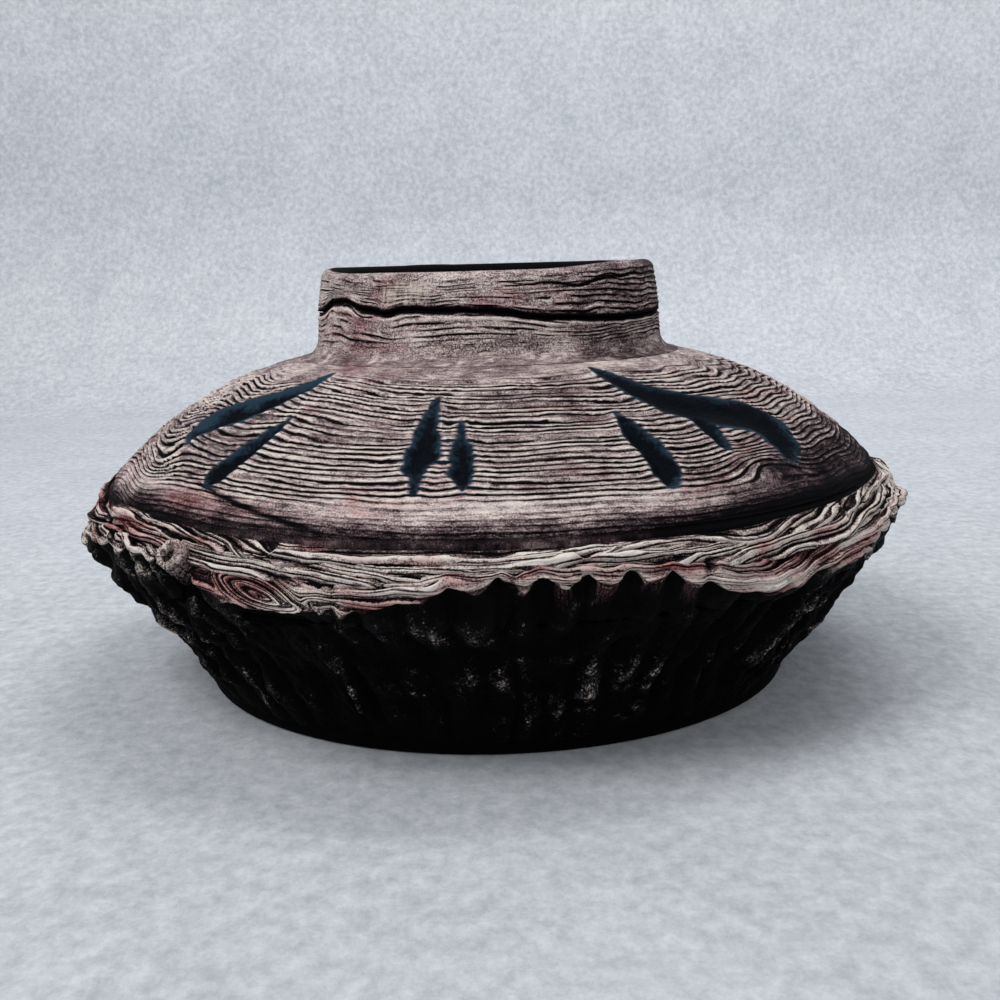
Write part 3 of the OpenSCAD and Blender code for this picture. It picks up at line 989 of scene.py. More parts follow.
@dataclass
class NeckBand:
    """One ring of the neck, with the wandering seam between the two."""

    band: Band
    mouth_r: float = 60.0
    rim_r: float = 68.0
    seam_r: float = 69.5
    foot_r: float = 77.8
    foot_z: float = 129.0
    seam_z: float = 147.0
    top_z: float = 165.0
    fillet: float = 7.5
    feather: float = 0.4
    ledge: float = 0.6
    lap_h: float = 6.0
    lap_t: float = 4.0
    slip: float = 0.1
    flare_rows: int = 34
    stem_rows: int = 26
    rim_rows: int = 40
    skirt_rows: tuple[int, int] = (6, 36)
    steps: int = 640
    focus: float = 18.0
    dip: float = 2.6
    line_pitch: float = 1.8
    lump_h: float = 0.5
    layer_h: float = 0.6
    tear_depth: float = 0.7
    crest_h: float = 0.4
    rubbed_at: Pair = (-26.0, 9.5)
    rubbed_z_at: Pair = (155.5, 7.5)
    seam_angles: tuple[float, ...] = (-67, -58, -49, -40, -33, -27, -12, 4,
                                      19, 36, 65, 100, 140, 185, 225, 262)
    seam_rises: tuple[float, ...] = (2, 5, 5, 2.6, 1, 2.6, 1.8, 1,
                                     -1.6, -2.6, -2.4, -1, 1.8, 0, 2.4, -1)
    tears: tuple[Tear, ...] = (Tear(34.0, 27.0, 5.0), Tear(205.0, 30.0, 5.5))
    seam_wobble: ClayNoise = ClayNoise(4.4, 50, 1.0, 3)
    drift: ClayNoise = ClayNoise(31.0, 12, 14.0)
    waver: ClayNoise = ClayNoise(33.0, 60, 5.0)
    dashes: ClayNoise = ClayNoise(35.0, 64, 3.0, 3)
    lumps: ClayNoise = ClayNoise(37.0, 14, 16.0, 3)
    chalk: ClayNoise = ClayNoise(39.0, 16, 9.0, 2)

    @property
    def lower(self) -> bool:
        """Tell whether this is the ring that stands on the shoulder."""
        return self.band is Band.BASE

    def base_outline(self) -> Array:
        """Lay out the section of the lower ring, counter-clockwise from its feathered foot."""
        centre = (self.foot_r, self.foot_z + self.fillet + self.feather)
        flare = arc(centre, self.fillet, np.linspace(1.5 * math.pi, math.pi, self.flare_rows))
        side = ((self.foot_r - self.fillet, centre[1]), (self.seam_r, self.seam_z))
        stem = densify(side, (self.stem_rows, 1))[1:self.stem_rows]
        lap_r = self.mouth_r + self.lap_t
        lap_z = self.seam_z + self.lap_h
        corners = ((self.seam_r, self.seam_z), (lap_r, self.seam_z), (lap_r, lap_z),
                   (self.mouth_r, lap_z), (self.mouth_r, self.foot_z), (self.foot_r, self.foot_z))
        return np.concatenate([flare, stem, densify(corners, (6, 3, 2, 8, 4, 1))])

    def rim_outline(self) -> Array:
        """Lay out the section of the upper ring, counter-clockwise from inside the lap."""
        round_r = (self.rim_r - self.mouth_r) / 2
        round_z = self.top_z - round_r
        lap_r = self.mouth_r + self.lap_t + self.slip
        lap_z = self.seam_z + self.lap_h
        rim = arc((self.mouth_r + round_r, round_z), round_r, np.linspace(0, math.pi, self.rim_rows))
        side = ((lap_r, self.seam_z), (self.seam_r + self.ledge, self.seam_z), (self.rim_r, round_z))
        skirt = densify(side, (*self.skirt_rows, 1))[:sum(self.skirt_rows)]
        inner = ((self.mouth_r, round_z), (self.mouth_r, lap_z), (lap_r, lap_z), (lap_r, self.seam_z))
        return np.concatenate([skirt, rim, densify(inner, (6, 2, 3, 1))[1:-1]])

    def seam(self, angle: Array) -> Array:
        """Return how far the seam lies above its mean height at each angle."""
        rise = np.interp(angle, self.seam_angles, self.seam_rises, period=360)
        return rise + 0.7 * self.seam_wobble.at(angle, 0 * angle)

    def build(self, material: bpy.types.Material) -> None:
        """Wrap, sculpt and dress the ring."""
        points = self.base_outline() if self.lower else self.rim_outline()
        name = "neck_foot" if self.lower else "neck_rim"
        grid = WrappedGrid(name, len(points), self.steps, focus=self.focus)
        angle = grid.angles
        radius, plain_z = points[:, :1] + 0 * angle, points[:, 1:] + 0 * angle
        out_r, out_z = outward(radius, plain_z)
        skin = radius > self.mouth_r + self.lap_t + 0.15
        off_seam = plain_z - self.seam_z
        near = 1 - ease(np.abs(off_seam), 0.0, 11.0)
        sunk = self.dip * towards(angle, -20.0, 0.2, 0.95)
        height = plain_z + self.seam(angle) * near * skin
        height = height - sunk * ease(plain_z, self.seam_z + 6.5, self.top_z - 3)

        lines = -plain_z / self.line_pitch + 0.9 * self.drift.at(angle, plain_z)
        lines = lines + 0.35 * self.waver.at(angle, plain_z)
        dashes = self.dashes.at(angle, lines * 4.0)
        # Darker and more heavily grained on the right and at the back left; the darkening on the right is
        # painted shade
        heavy_and_shaded = towards(angle, 62.0, 0.72, 0.98) + towards(angle, -150.0, 0.7, 0.98)
        bite = ease(dashes + 0.1 + 0.4 * heavy_and_shaded, -0.1, 0.5) * ease(self.top_z - plain_z, 1.0, 5.0)
        if self.lower:
            bite = bite * ease(plain_z, self.foot_z + 5, self.foot_z + 10)
        lumps = self.lumps.at(angle, plain_z)
        crack = (1 - ease(np.abs(off_seam), 0.5, 2.2)) * skin
        crack_depth = 0.4 + 0.9 * np.cos(np.radians(angle)) ** 2
        crest = between(-off_seam, (1.4, 2.2), (2.6, 3.6)) * skin
        tear = sum(tear.depth(angle, plain_z, self.top_z) for tear in self.tears) * skin
        relief = self.lump_h * lumps + self.layer_h * (shingled(lines) - 0.7) * bite
        relief = relief - crack_depth * crack - self.tear_depth * tear + self.crest_h * crest
        if self.lower:
            relief = relief * ease(plain_z, self.foot_z + 0.5, self.foot_z + 8)
        relief = relief * skin
        piece = grid.make(radius + out_r * relief, height + out_z * relief)

        above_foot = ease(plain_z, self.foot_z, self.foot_z + 7)
        chalk = ease(self.chalk.at(angle, plain_z), 0.1, 0.7)
        scratched = ease(SCRATCHES.at(angle, plain_z), 0.2, 0.5)
        scratched = scratched * (1 - ease(plain_z, self.foot_z + 2, self.foot_z + 7))
        shade = 1.7 * crack + 1.3 * tear + 0.42 * heavy_and_shaded * (1 - 0.4 * lumps)
        # crest: a painted highlight on the raised lip under the seam crack
        shade = shade - (0.3 * chalk + 0.06) * above_foot - 0.5 * crest - 0.4 * scratched
        # Painted shade on the neck's inner faces
        inside = 1.6 * ease(self.rim_r - 1.5 - radius, 0.0, 3.0)
        rubbed = ((angle - self.rubbed_at[0]) / self.rubbed_at[1]) ** 4
        rubbed = np.exp(-rubbed - ((plain_z - self.rubbed_z_at[0]) / self.rubbed_z_at[1]) ** 4)
        attach(piece, grain=lines, bite=0.8 * bite * skin, grit=above_foot * skin, hollow=FAR_FROM_GOUGE,
               shade=np.where(skin, shade, inside), scuff=0.9 * rubbed * skin)
        settle(piece, material, self.band.value)


@dataclass(frozen=True)
class Pleats:
    """The knobbly pleats of the bowl, which go on under the lip."""

    depth: float = 3.4
    grit_h: float = 0.4
    rate: float = 36.0
    drift: ClayNoise = ClayNoise(42.0, 30, 1.0)
    strength: ClayNoise = ClayNoise(44.0, 36, 30.0, 2)
    knobs: ClayNoise = ClayNoise(45.0, 64, 12.0, 2)
    lumps: ClayNoise = ClayNoise(47.0, 120, 7.0, 3)
    grit: ClayNoise = ClayNoise(49.0, 480, 2.4, 2)

    def fold(self, angle: Array) -> Array:
        """Return the uneven pleats at each angle: 0 in a fold, 1 on a crest."""
        drift = 1.1 * self.drift.at(angle, 0 * angle)
        return np.abs(np.sin(np.radians((angle + drift) * self.rate)))

    def swell(self, angle: Array, down: Array, turned: Array) -> tuple[Array, Array]:
        """Shape the pleats.

        Args:
            angle: degrees of each point.
            down: millimetres below the bowl's shelf.
            turned: angle of each point, with the lean of the pleats taken out.

        Returns:
            How far the pleats stand out, as shares of their depth, and the fine grit on them.
        """
        crest = self.fold(turned) ** 0.8
        strength = 0.8 + 0.7 * self.strength.at(turned, down)
        knob = self.knobs.at(turned, down)
        swell = (crest - 0.62) * strength * (1.0 + 0.7 * knob)
        return swell + 0.7 * self.lumps.at(angle, down) + 0.75 * knob, self.grit.at(angle, down)

    def relief(self, swell: Array, grit: Array) -> Array:
        """Return how far the pleats stand out in millimetres."""
        return self.depth * swell + self.grit_h * grit

    def lift(self, swell: Array, grit: Array) -> Array:
        """Return how much of the slip is rubbed off, more on the crests."""
        return 0.2 + 0.42 * swell + 0.2 * grit


PLEATS = Pleats()


@dataclass
class PleatedBowl:
    """The near-black bowl with knobbly pleats."""

    foot_r: float = 122.0
    foot_z: float = 6.0
    floor_r: float = 109.1
    floor_z: float = 12.0
    shelf_r: float = 158.0
    shelf_z: float = 57.0
    seat_r: float = 155.5
    seam_z: float = 76.0
    inner_r: float = 146.5
    turn_z: float = 66.0
    sag: float = 2.0
    rows: int = 84
    steps: int = 980
    focus: float = 14.0
    lean: float = 6.0
    lean_noise: ClayNoise = ClayNoise(41.0, 7, 1.0)
    sway: ClayNoise = ClayNoise(43.0, 40, 26.0, 2)

    def outline(self) -> Array:
        """Lay out the section of the bowl, counter-clockwise from the foot."""
        rise = np.linspace(0, 1, self.rows)
        flank = np.stack([
            self.foot_r + (self.shelf_r - self.foot_r) * rise - self.sag * np.sin(math.pi * rise),
            self.foot_z + (self.shelf_z - self.foot_z) * rise], axis=-1)
        corners = (
            (self.seat_r, self.shelf_z), (self.seat_r, self.seam_z), (self.inner_r, self.seam_z),
            (self.inner_r, self.turn_z), (self.floor_r, self.floor_z), (self.floor_r, self.foot_z))
        return np.concatenate([flank, densify(corners, (2, 1, 1, 5, 1, 1))])

    def build(self, material: bpy.types.Material) -> None:
        """Wrap, sculpt and dress the bowl."""
        points = self.outline()
        grid = WrappedGrid("bowl", len(points), self.steps, focus=self.focus)
        angle = grid.angles
        radius, height = points[:, :1] + 0 * angle, points[:, 1:] + 0 * angle
        out_r, out_z = outward(radius, height)
        face = (np.arange(len(points)) < self.rows)[:, None]
        rise = (height - self.foot_z) / (self.shelf_z - self.foot_z)
        down = self.shelf_z - height

        lean = self.lean * np.sin(np.radians(angle - 20)) + 3.0 * self.lean_noise.at(angle, 0 * down)
        turned = angle + lean * (1 - rise) + 3.0 * self.sway.at(angle, down) * ease(down, 0.0, 16.0)
        swell, grit = PLEATS.swell(angle, down, turned)
        fade = 0.3 + 0.7 * ease(rise, 0.0, 0.4)
        relief = PLEATS.relief(swell, grit) * fade * face
        piece = grid.make(radius + out_r * relief, height + out_z * relief)
        attach(piece, lift=np.where(face, PLEATS.lift(swell * fade, grit), 0.0))
        settle(piece, material, "pleated_bowl")


class Tier(Enum):
    """The three layers of the belt."""

    LIP = "lip_strip"
    MIDDLE = "middle_strip"
    UPPER = "upper_strip"


@dataclass(frozen=True)
class BeltShape:
    """Sizes that all strips of the belt share, and the curves that their edges follow."""

    seat_r: float = 155.6
    edge_z: float = 84.0
    upper_h: float = 7.0
    middle_h: float = 7.0
    lip_h: float = 13.0
    lip_t: float = 3.4
    reach: float = 10.0
    sink: float = 1.5
    tier_step: float = 3.3
    tier_rise: float = 5.2
    shelf_r: float = 158.0
    wave_h: float = 7.2
    waves: int = 6
    wave_peak: float = 7.5
    ruffle: float = 1.2
    hem_z: float = 66.8
    curl_lift: float = 6.0
    curl_at: Pair = (-40.0, 5.5)
    edge_t: float = 2.6
    top_drop: float = 2.0
    low_angle: float = 15.0
    front_sag: float = 2.2
    sag_at: Pair = (4.0, 26.0)
    lap: float = 0.9
    patchy: ClayNoise = ClayNoise(53.0, 18, 1.0, 2)
    rough_hem: ClayNoise = ClayNoise(55.0, 48, 1.0, 3)
    rough_top: ClayNoise = ClayNoise(57.0, 40, 1.0, 3)

    @property
    def crest_r(self) -> float:
        """Return the mean radius of the lip's crest."""
        return self.seat_r - 0.1 + self.reach

    @property
    def lip_top(self) -> float:
        """Return the height of the lip's top at the seat."""
        return self.edge_z - self.upper_h - self.middle_h

    @property
    def lip_z(self) -> float:
        """Return the mean height of the lip's crest."""
        return self.lip_top - self.sink

    @property
    def shelf_z(self) -> float:
        """Return the height of the shelf on which the lip lies."""
        return self.lip_top - self.lip_h

    def beat(self, angle: Array) -> Array:
        """Return the even rise and fall round the belt, between -1 and 1."""
        return np.cos(np.radians(self.waves * (angle - self.wave_peak)))

    def wave(self, angle: Array) -> Array:
        """Return the rise and fall of the lip's hem."""
        return self.wave_h * (0.88 * self.beat(angle) + 0.12 * np.cos(np.radians(17 * angle + 40)))

    def ruffles(self, angle: Array) -> Array:
        """Return the in-and-out of the lip."""
        slow = np.cos(np.radians(11 * angle + 25))
        quick = np.cos(np.radians(19 * angle + 80))
        return self.ruffle * (0.6 * slow + 0.4 * quick)

    def arches(self, angle: Array) -> Array:
        """Return where the lip is gathered into arches between the pleats, between 0 and 1."""
        return bump(angle, 13, 13) + 0.6 * bump(angle, 195, 20)

    def lobes(self, angle: Array) -> Array:
        """Return how far the lip hangs in scallops over the pleats, between 0 and 1."""
        patchy = self.patchy.at(angle, 0 * angle)
        return 0.25 + 0.75 * ease(self.beat(angle) + 0.6 * patchy, -0.1, 0.7)

    def hem(self, angle: Array) -> Array:
        """Return the height of the lip's pale hem, below which the pleats begin."""
        bulges = 2.2 * bump(angle, -12, 8) + 2.0 * bump(angle, 17, 4)
        bulges = bulges + self.curl_lift * bump(angle, *self.curl_at)
        scallop = self.lobes(angle) * (1.8 + 4.0 * self.arches(angle)) * (PLEATS.fold(angle) - 0.6)
        rough = 0.8 * self.rough_hem.at(angle, 0 * angle)
        level = self.hem_z + self.wave(angle) + bulges - scallop + rough
        return np.minimum(level, self.lip_edge(angle)[1] - self.edge_t)

    def sag(self, angle: Array) -> Array:
        """Return how far the upper layers sag in front."""
        return self.front_sag * bump(angle, *self.sag_at)

    def top_edge(self, angle: Array) -> Array:
        """Return the height at which the belt's upper edge lies on the dome."""
        rough = 0.6 * self.rough_top.at(angle, 0 * angle)
        slope = self.top_drop * np.cos(np.radians(angle - self.low_angle)) + self.sag(angle)
        return self.edge_z - slope + 0.12 * self.wave(angle) + rough

    def lip_edge(self, angle: Array) -> tuple[Array, Array]:
        """Return the radius and height of the edge between the lip and the middle layer."""
        return (self.crest_r - self.tier_step + self.ruffles(angle + 8),
                self.lip_z + self.tier_rise + 0.46 * self.wave(angle))

    def middle_edge(self, angle: Array) -> tuple[Array, Array]:
        """Return the radius and height of the edge between the middle and the upper layer."""
        return (self.crest_r - 2 * self.tier_step + self.ruffles(angle + 21),
                self.lip_z + 2 * self.tier_rise + 0.27 * self.wave(angle) - 0.7 * self.sag(angle))

    def section(self, tier: Tier, angle: Array) -> list[tuple[Array, Array]]:
        """Return the corners of a layer's section, counter-clockwise from the foot of the seat.

        Args:
            tier: which layer.
            angle: degrees round the vase.

        Returns:
            Radius and height of each corner. The last leg runs down the seat.
        """
        level = 0 * angle
        seat = self.seat_r + level
        lip_r, lip_z = self.lip_edge(angle)
        mid_r, mid_z = self.middle_edge(angle)
        if tier is Tier.LIP:
            hem, ruffle = self.hem(angle), self.ruffles(angle)
            scallop = self.lobes(angle) * (PLEATS.fold(angle) - 0.5)
            thick = np.minimum(self.lip_t, 0.7 * (lip_z - hem))
            foot_z = self.shelf_z - 0.3 + level
            return [
                (seat, foot_z), (self.shelf_r + level, foot_z),
                (self.crest_r - 3.6 + ruffle / 2 + scallop, np.maximum(hem - 2.2, self.shelf_z + 1.5)),
                (self.crest_r - 0.5 + ruffle + 1.2 * scallop, hem),
                (self.crest_r + ruffle + scallop, hem + thick),
                (lip_r, lip_z), (seat, self.lip_top + level)]
        if tier is Tier.MIDDLE:
            return [
                (seat, self.lip_top + level), (lip_r + self.lap, lip_z - self.lap),
                (lip_r + self.lap / 2, lip_z + 2.4), (mid_r, mid_z),
                (seat, self.lip_top + self.middle_h + level)]
        top = self.top_edge(angle)
        return [
            (seat, self.edge_z - self.upper_h + level), (mid_r + self.lap, mid_z - self.lap),
            (mid_r + self.lap / 2, mid_z + 2.2 - 0.6 * self.sag(angle)), (seat + 1.4, top - 1.0),
            (seat + 0.1, top)]


@dataclass
class StripSkin:
    """What is sculpted into a strip and rubbed over it, for each point of its grid."""

    relief: Array
    grain: Array
    bite: Array
    pale: Array
    warm: Array
    char: Array
    lift: Array


@dataclass
class BeltStrip:
    """One torn length of a layer of the belt."""

    tier: Tier
    number: int
    first: float
    last: float
    shape: BeltShape
    step_angle: float = 0.28
    fewest_steps: int = 40
    strand_pitch: float = 4.6
    palest: float = -0.62
    calm_at: Pair = (62.0, 26.0)
    left_at: Pair = (-58.0, 22.0)
    open_at: Pair = (-4.0, 24.0)
    broken_at: Pair = (72.0, 13.0)
    pale_at: Pair = (48.0, 18.0)
    speckled_at: Pair = (43.0, 17.0)
    lit_stems_at: Pair = (-38.0, 9.0)
    cream_at: Pair = (33.0, 8.0)
    flush_at: Pair = (49.0, 6.0)
    right_end_shade_at: Pair = (90.0, 9.0)
    # Angle and height of each knot
    almonds: tuple[Pair, ...] = ((-26.5, 66.6), (142.0, 67.0), (246.0, 66.0))

    @property
    def legs(self) -> tuple[int, ...]:
        """Return how many parts each leg of the section has."""
        return {
            Tier.LIP: (2, 14, 6, 10, 18, 8, 3),
            Tier.MIDDLE: (8, 8, 16, 5, 2),
            Tier.UPPER: (6, 8, 16, 3, 2),
        }[self.tier]

    def noise(self, kind: int, cells: int, pitch: float, layers: int = 1) -> ClayNoise:
        """Return one of this layer's noises, by its number."""
        seed = {Tier.LIP: 61.0, Tier.MIDDLE: 71.0, Tier.UPPER: 81.0}[self.tier]
        return ClayNoise(seed + kind, cells, pitch, layers)

    def surface(self, angle: Array) -> tuple[Array, Array, Array]:
        """Lay out the plain strip.

        Args:
            angle: degrees of each column.

        Returns:
            Radius and height of the grid, and 1 where a row lies off the seat.
        """
        corners = self.shape.section(self.tier, angle)
        rows = []
        for index, count in enumerate(self.legs):
            share = np.arange(count)[:, None] / count
            here, ahead = corners[index], corners[(index + 1) % len(corners)]
            rows.append(np.stack([start + (end - start) * share for start, end in zip(here, ahead)]))
        grid = np.concatenate(rows, axis=1)
        free = np.ones(grid.shape[1])
        free[-self.legs[-1]:] = 0.0
        free[0] = 0.0
        loose = free.copy()
        if self.tier is Tier.LIP:
            loose[:self.legs[0] + 1] = 0.0
        for _ in range(2):
            mean = (np.roll(grid, 1, axis=1) + np.roll(grid, -1, axis=1)) / 2
            grid = grid + 0.5 * (mean - grid) * loose[:, None]
        return grid[0], grid[1], free[:, None]

    def torn(self, run: Array, end: float) -> Array:
        """Return the ragged line of a torn end, in degrees, the same for both strips that meet there."""
        return 0.8 * ClayNoise(97.0 + 0.11 * (end % 360), 1, 5.0, 3).at(0 * run, run)

    def knotted(self, angle: Array, height: Array, lines: Array) -> Array:
        """Close the strands into almond-shaped knots on the lip.

        Args:
            angle: degrees of each point.
            height: height of each point.
            lines: count of the strands up to each point.

        Returns:
            The count, with rings round each knot.
        """
        if self.tier is not Tier.LIP:
            return lines
        for centre, middle in self.almonds:
            across = around_turn(angle, centre)
            rise = height - middle + 0.7 * across
            away = np.hypot(rise / 5.4, 0.16) - 0.16 + (across / 7.0) ** 2
            near = 1 - ease(away, 0.7, 1.4)
            lines = lines * (1 - near) + (0.25 + 2.6 * away) * near
        return lines

    def strands(self, angle: Array, run: Array, height: Array) -> tuple[Array, Array, Array]:
        """Lay out the strands that run along the strip.

        Args:
            angle: degrees of each column.
            run: millimetres along the section.
            height: height of each point.

        Returns:
            The count of strands up to each point, how far the point stands up on its strand, and how
            deep the strands are cut.
        """
        slope = -7.0 * (1 - np.cos(np.radians(angle)))
        calm = 1 - 0.75 * bump(angle, *self.calm_at)
        lines = run / self.strand_pitch + slope + 1.3 * calm * self.noise(0, 22, 11.0).at(angle, run)
        lines = lines + 0.4 * calm * self.noise(1, 75, 6.0).at(angle, run)
        lines = self.knotted(angle, height, lines)
        dashes = self.noise(2, 44, 3.2, 2).at(angle, lines * 4)
        return lines, shingled(lines, (0.0, 0.8), 0.9), ease(dashes, -0.75, 0.1)

    def hang(self, skin: StripSkin, angle: Array, height: Array, out_r: Array) -> None:
        """Roll the lip's hem over, and let the dark pleats begin below it.

        Args:
            skin: the lip's skin, which is changed.
            angle: degrees of each column.
            height: height of each point.
            out_r: how far each point faces outwards.
        """
        above = height - self.shape.hem(angle)
        under = 1 - ease(above, -1.6, 0.4)
        face = between(above, (0.0, 1.2), (4.0, 6.0))
        roll = between(above, (-0.6, 0.4), (1.4, 2.8))
        arches = self.shape.arches(angle)
        columns = ease(PLEATS.fold(angle), 0.5, 0.95) * ease(above, -15.0, -9.0) * arches
        # speckled: painted shade low on the lip's right side, laid on as black slip
        speckled = bump(angle, *self.speckled_at) * (1 - ease(above, -1.0, 4.5))
        cream = face * bump(angle, *self.cream_at)
        swell, grit = PLEATS.swell(angle, self.shape.shelf_z - height, angle)

        skin.relief = skin.relief * (1 - under) + PLEATS.relief(swell, grit) * under
        skin.grain = np.where(under > 0.5, 1.6 * angle, skin.grain)
        # Below the hem the lip takes the bowl's black slip, which is partly painted shade
        skin.char = under * (above < 1.0) * (1 - 0.75 * columns)
        skin.char = np.maximum(skin.char, 0.62 * speckled)
        # Pleats under the curl are paler: a painted highlight where the left side is lit
        skin.lift = PLEATS.lift(swell, grit) + 0.2 * bump(angle, *self.lit_stems_at) * swell
        skin.bite = skin.bite * (1 - under) * (1 - np.maximum(0.7 * cream, 0.25 * roll))
        # A painted highlight where the lip faces straight out, and a pale rolled hem
        skin.pale = skin.pale + 0.2 * ease(out_r, 0.6, 1.0) * (1 - skin.char) + 0.2 * roll
        skin.pale = skin.pale + 0.9 * cream - columns * under * (0.6 + 1.1 * ease(-above, 0.0, 10.0))
        skin.warm = (skin.warm + 0.4 * arches * face) * (1 - cream) + 0.6 * columns * under
        skin.warm = skin.warm + 0.8 * face * bump(angle, *self.flush_at)

    def build(self, material: bpy.types.Material) -> None:
        """Wrap, sculpt and dress the strip."""
        steps = max(self.fewest_steps, int((self.last - self.first) / self.step_angle))
        name = f"{self.tier.name.lower()}_length_{self.number}"
        grid = WrappedGrid(name, sum(self.legs), steps, self.first, self.last)
        angle = grid.angles
        plain_r, plain_z, free = self.surface(angle)
        out_r, out_z = outward(plain_r, plain_z)
        moves_r = np.diff(plain_r, axis=0, prepend=plain_r[:1])
        moves_z = np.diff(plain_z, axis=0, prepend=plain_z[:1])
        run = np.cumsum(np.hypot(moves_r, moves_z), axis=0)

        lines, strand, bite = self.strands(angle, run, plain_z)
        bite = bite * free
        left = bump(angle, *self.left_at)
        open_front = bump(angle, *self.open_at)
        broken = bump(angle, *self.broken_at)
        lumps = self.noise(3, 60, 12.0, 3).at(angle, run)
        knobs = self.noise(4, 190, 4.2, 3).at(angle, run)
        relief = (1.3 + 0.2 * broken) * lumps + (0.55 + 0.15 * broken) * knobs
        relief = relief + (1.8 + 0.7 * left - 0.8 * broken) * (strand - 0.6) * bite
        warm = 0.8 * ease(self.noise(5, 34, 12.0, 2).at(angle, run), 0.0, 0.4) * (1 - 0.8 * broken)
        none = 0 * relief
        pale = 0.35 * broken + 0.4 * bump(angle, *self.pale_at) + none
        skin = StripSkin(relief, 2.7 * lines + 0.5 * lumps, bite, pale, warm, none, none)
        if self.tier is Tier.LIP:
            self.hang(skin, angle, plain_z, out_r)

        ends = ease(angle - self.first, 0.0, 1.3) * ease(self.last - angle, 0.0, 1.3)
        out = plain_r - self.shape.seat_r
        off_seat = ease(out, 0.2, 2.2)
        relief = (skin.relief * (0.35 + 0.65 * ends) - 1.5 * (1 - ends)) * free * off_seat
        radius = np.maximum(plain_r + out_r * relief, self.shape.seat_r - 0.05)
        shift = self.torn(run, self.first) * (1 - ease(angle - self.first, 0.0, 3.0))
        shift = shift + self.torn(run, self.last) * (1 - ease(self.last - angle, 0.0, 3.0))
        piece = grid.make(radius, plain_z + out_z * relief, shift * free * off_seat)

        # Painted shade in the gaps between strands and a painted highlight on their crests
        gap = (1 - ease(strand, 0.0, 0.5)) * skin.bite
        crest = ease(strand, 0.92, 1.0) * skin.bite
        # Painted shade where the upper layers face downwards
        underside_shade = 0.9 * ease(-out_z, 0.2, 0.9) * (self.tier is not Tier.LIP)
        # Painted shade at the belt's right end
        right_end_shade = bump(angle, *self.right_end_shade_at) * ease(out, 4.0, 8.0)
        # Painted shade in the gaps, and where a strip meets the dome
        shade = (1.45 + 0.4 * left - 0.6 * open_front - 0.7 * broken) * gap + 0.8 * (1 - off_seat)
        shade = shade - 0.08 - 0.95 * crest + 0.6 * np.minimum(skin.warm, 1.0) + 0.9 * right_end_shade
        shade = shade + 0.6 * (1 - ends) - 0.55 * lumps + underside_shade - skin.pale - 0.25 * open_front
        attach(piece, grain=skin.grain, bite=0.8 * skin.bite, grit=0.9, hollow=FAR_FROM_GOUGE,
               shade=np.maximum(shade, self.palest), warm=skin.warm, char=skin.char, lift=skin.lift)
        settle(piece, material, f"{self.tier.value}_{self.number}")


@dataclass
class CurlRoll:
    """The rolled-up end of a strip that stands out of the lip on the left."""

    angle: float = -40.0
    turned: float = 20.0
    radius: float = 5.0
    thickness: float = 2.0
    length: float = 16.5
    tilt: float = 37.0
    seat_r: float = 155.6
    seat_z: float = 67.0
    turns: float = 1.6
    first_turn: float = -0.6
    root: float = -1.0
    tightness: float = 0.72
    ribbon: float = 0.7
    parts: tuple[int, int] = (96, 24)
    wobble_h: float = 0.35
    wobble_turn: float = 57.3
    wobble_length: float = 15.0
    noise: ClayNoise = ClayNoise(91.0, 60, 4.0)

    def build(self, material: bpy.types.Material) -> None:
        """Roll up a flat ribbon, give it its thickness and dress it."""
        work = bmesh.new()
        bmesh.ops.create_grid(work, x_segments=self.parts[0], y_segments=self.parts[1], size=0.5)
        shade, grain = (work.verts.layers.float.new(name) for name in ("shade", "grain"))
        bite, grit = (work.verts.layers.float.new(name) for name in ("bite", "grit"))
        for vert in work.verts:
            share, along = vert.co.x + 0.5, vert.co.y + 0.5
            turn = 2 * math.pi * self.turns * share + self.first_turn
            rolled_in = share * (self.radius - self.thickness) * self.tightness
            reach = self.radius - self.thickness / 2 - rolled_in
            spot = np.array(turn * self.wobble_turn), np.array(along * self.wobble_length)
            wobble = float(self.noise.at(*spot))
            reach = reach * (1 + 0.06 * along) + self.wobble_h * wobble
            out = self.root + along * (self.length + 0.9 * math.cos(turn) + 0.7 * wobble)
            # Painted shade: darker at the root by the lip and on the inner turns, lighter towards the end
            vert[shade] = 1.0 - 1.4 * along + 1.2 * max(0.0, share - 0.6) + 0.15 * wobble
            vert[grain] = 5.0 * along + 0.4 * wobble
            vert[bite] = 0.25
            vert[grit] = 0.8
            vert.co = Vector((reach * math.cos(turn), reach * math.sin(turn), out)) * MM
        bmesh.ops.recalc_face_normals(work, faces=work.faces)
        bmesh.ops.solidify(work, geom=work.faces, thickness=self.thickness * self.ribbon * MM)
        lean = Euler((math.radians(90 - self.tilt), 0, 0)).to_matrix().to_4x4()
        facing = Euler((0, 0, math.radians(self.angle + self.turned))).to_matrix().to_4x4()
        bmesh.ops.transform(work, matrix=facing @ lean, verts=work.verts)
        turn = math.radians(self.angle)
        place = Vector((self.seat_r * math.sin(turn), -self.seat_r * math.cos(turn), self.seat_z)) * MM
        bmesh.ops.translate(work, vec=place, verts=work.verts)
        piece = finished("curl", work)
        attach(piece, hollow=FAR_FROM_GOUGE)
        settle(piece, material, "curl_roll")


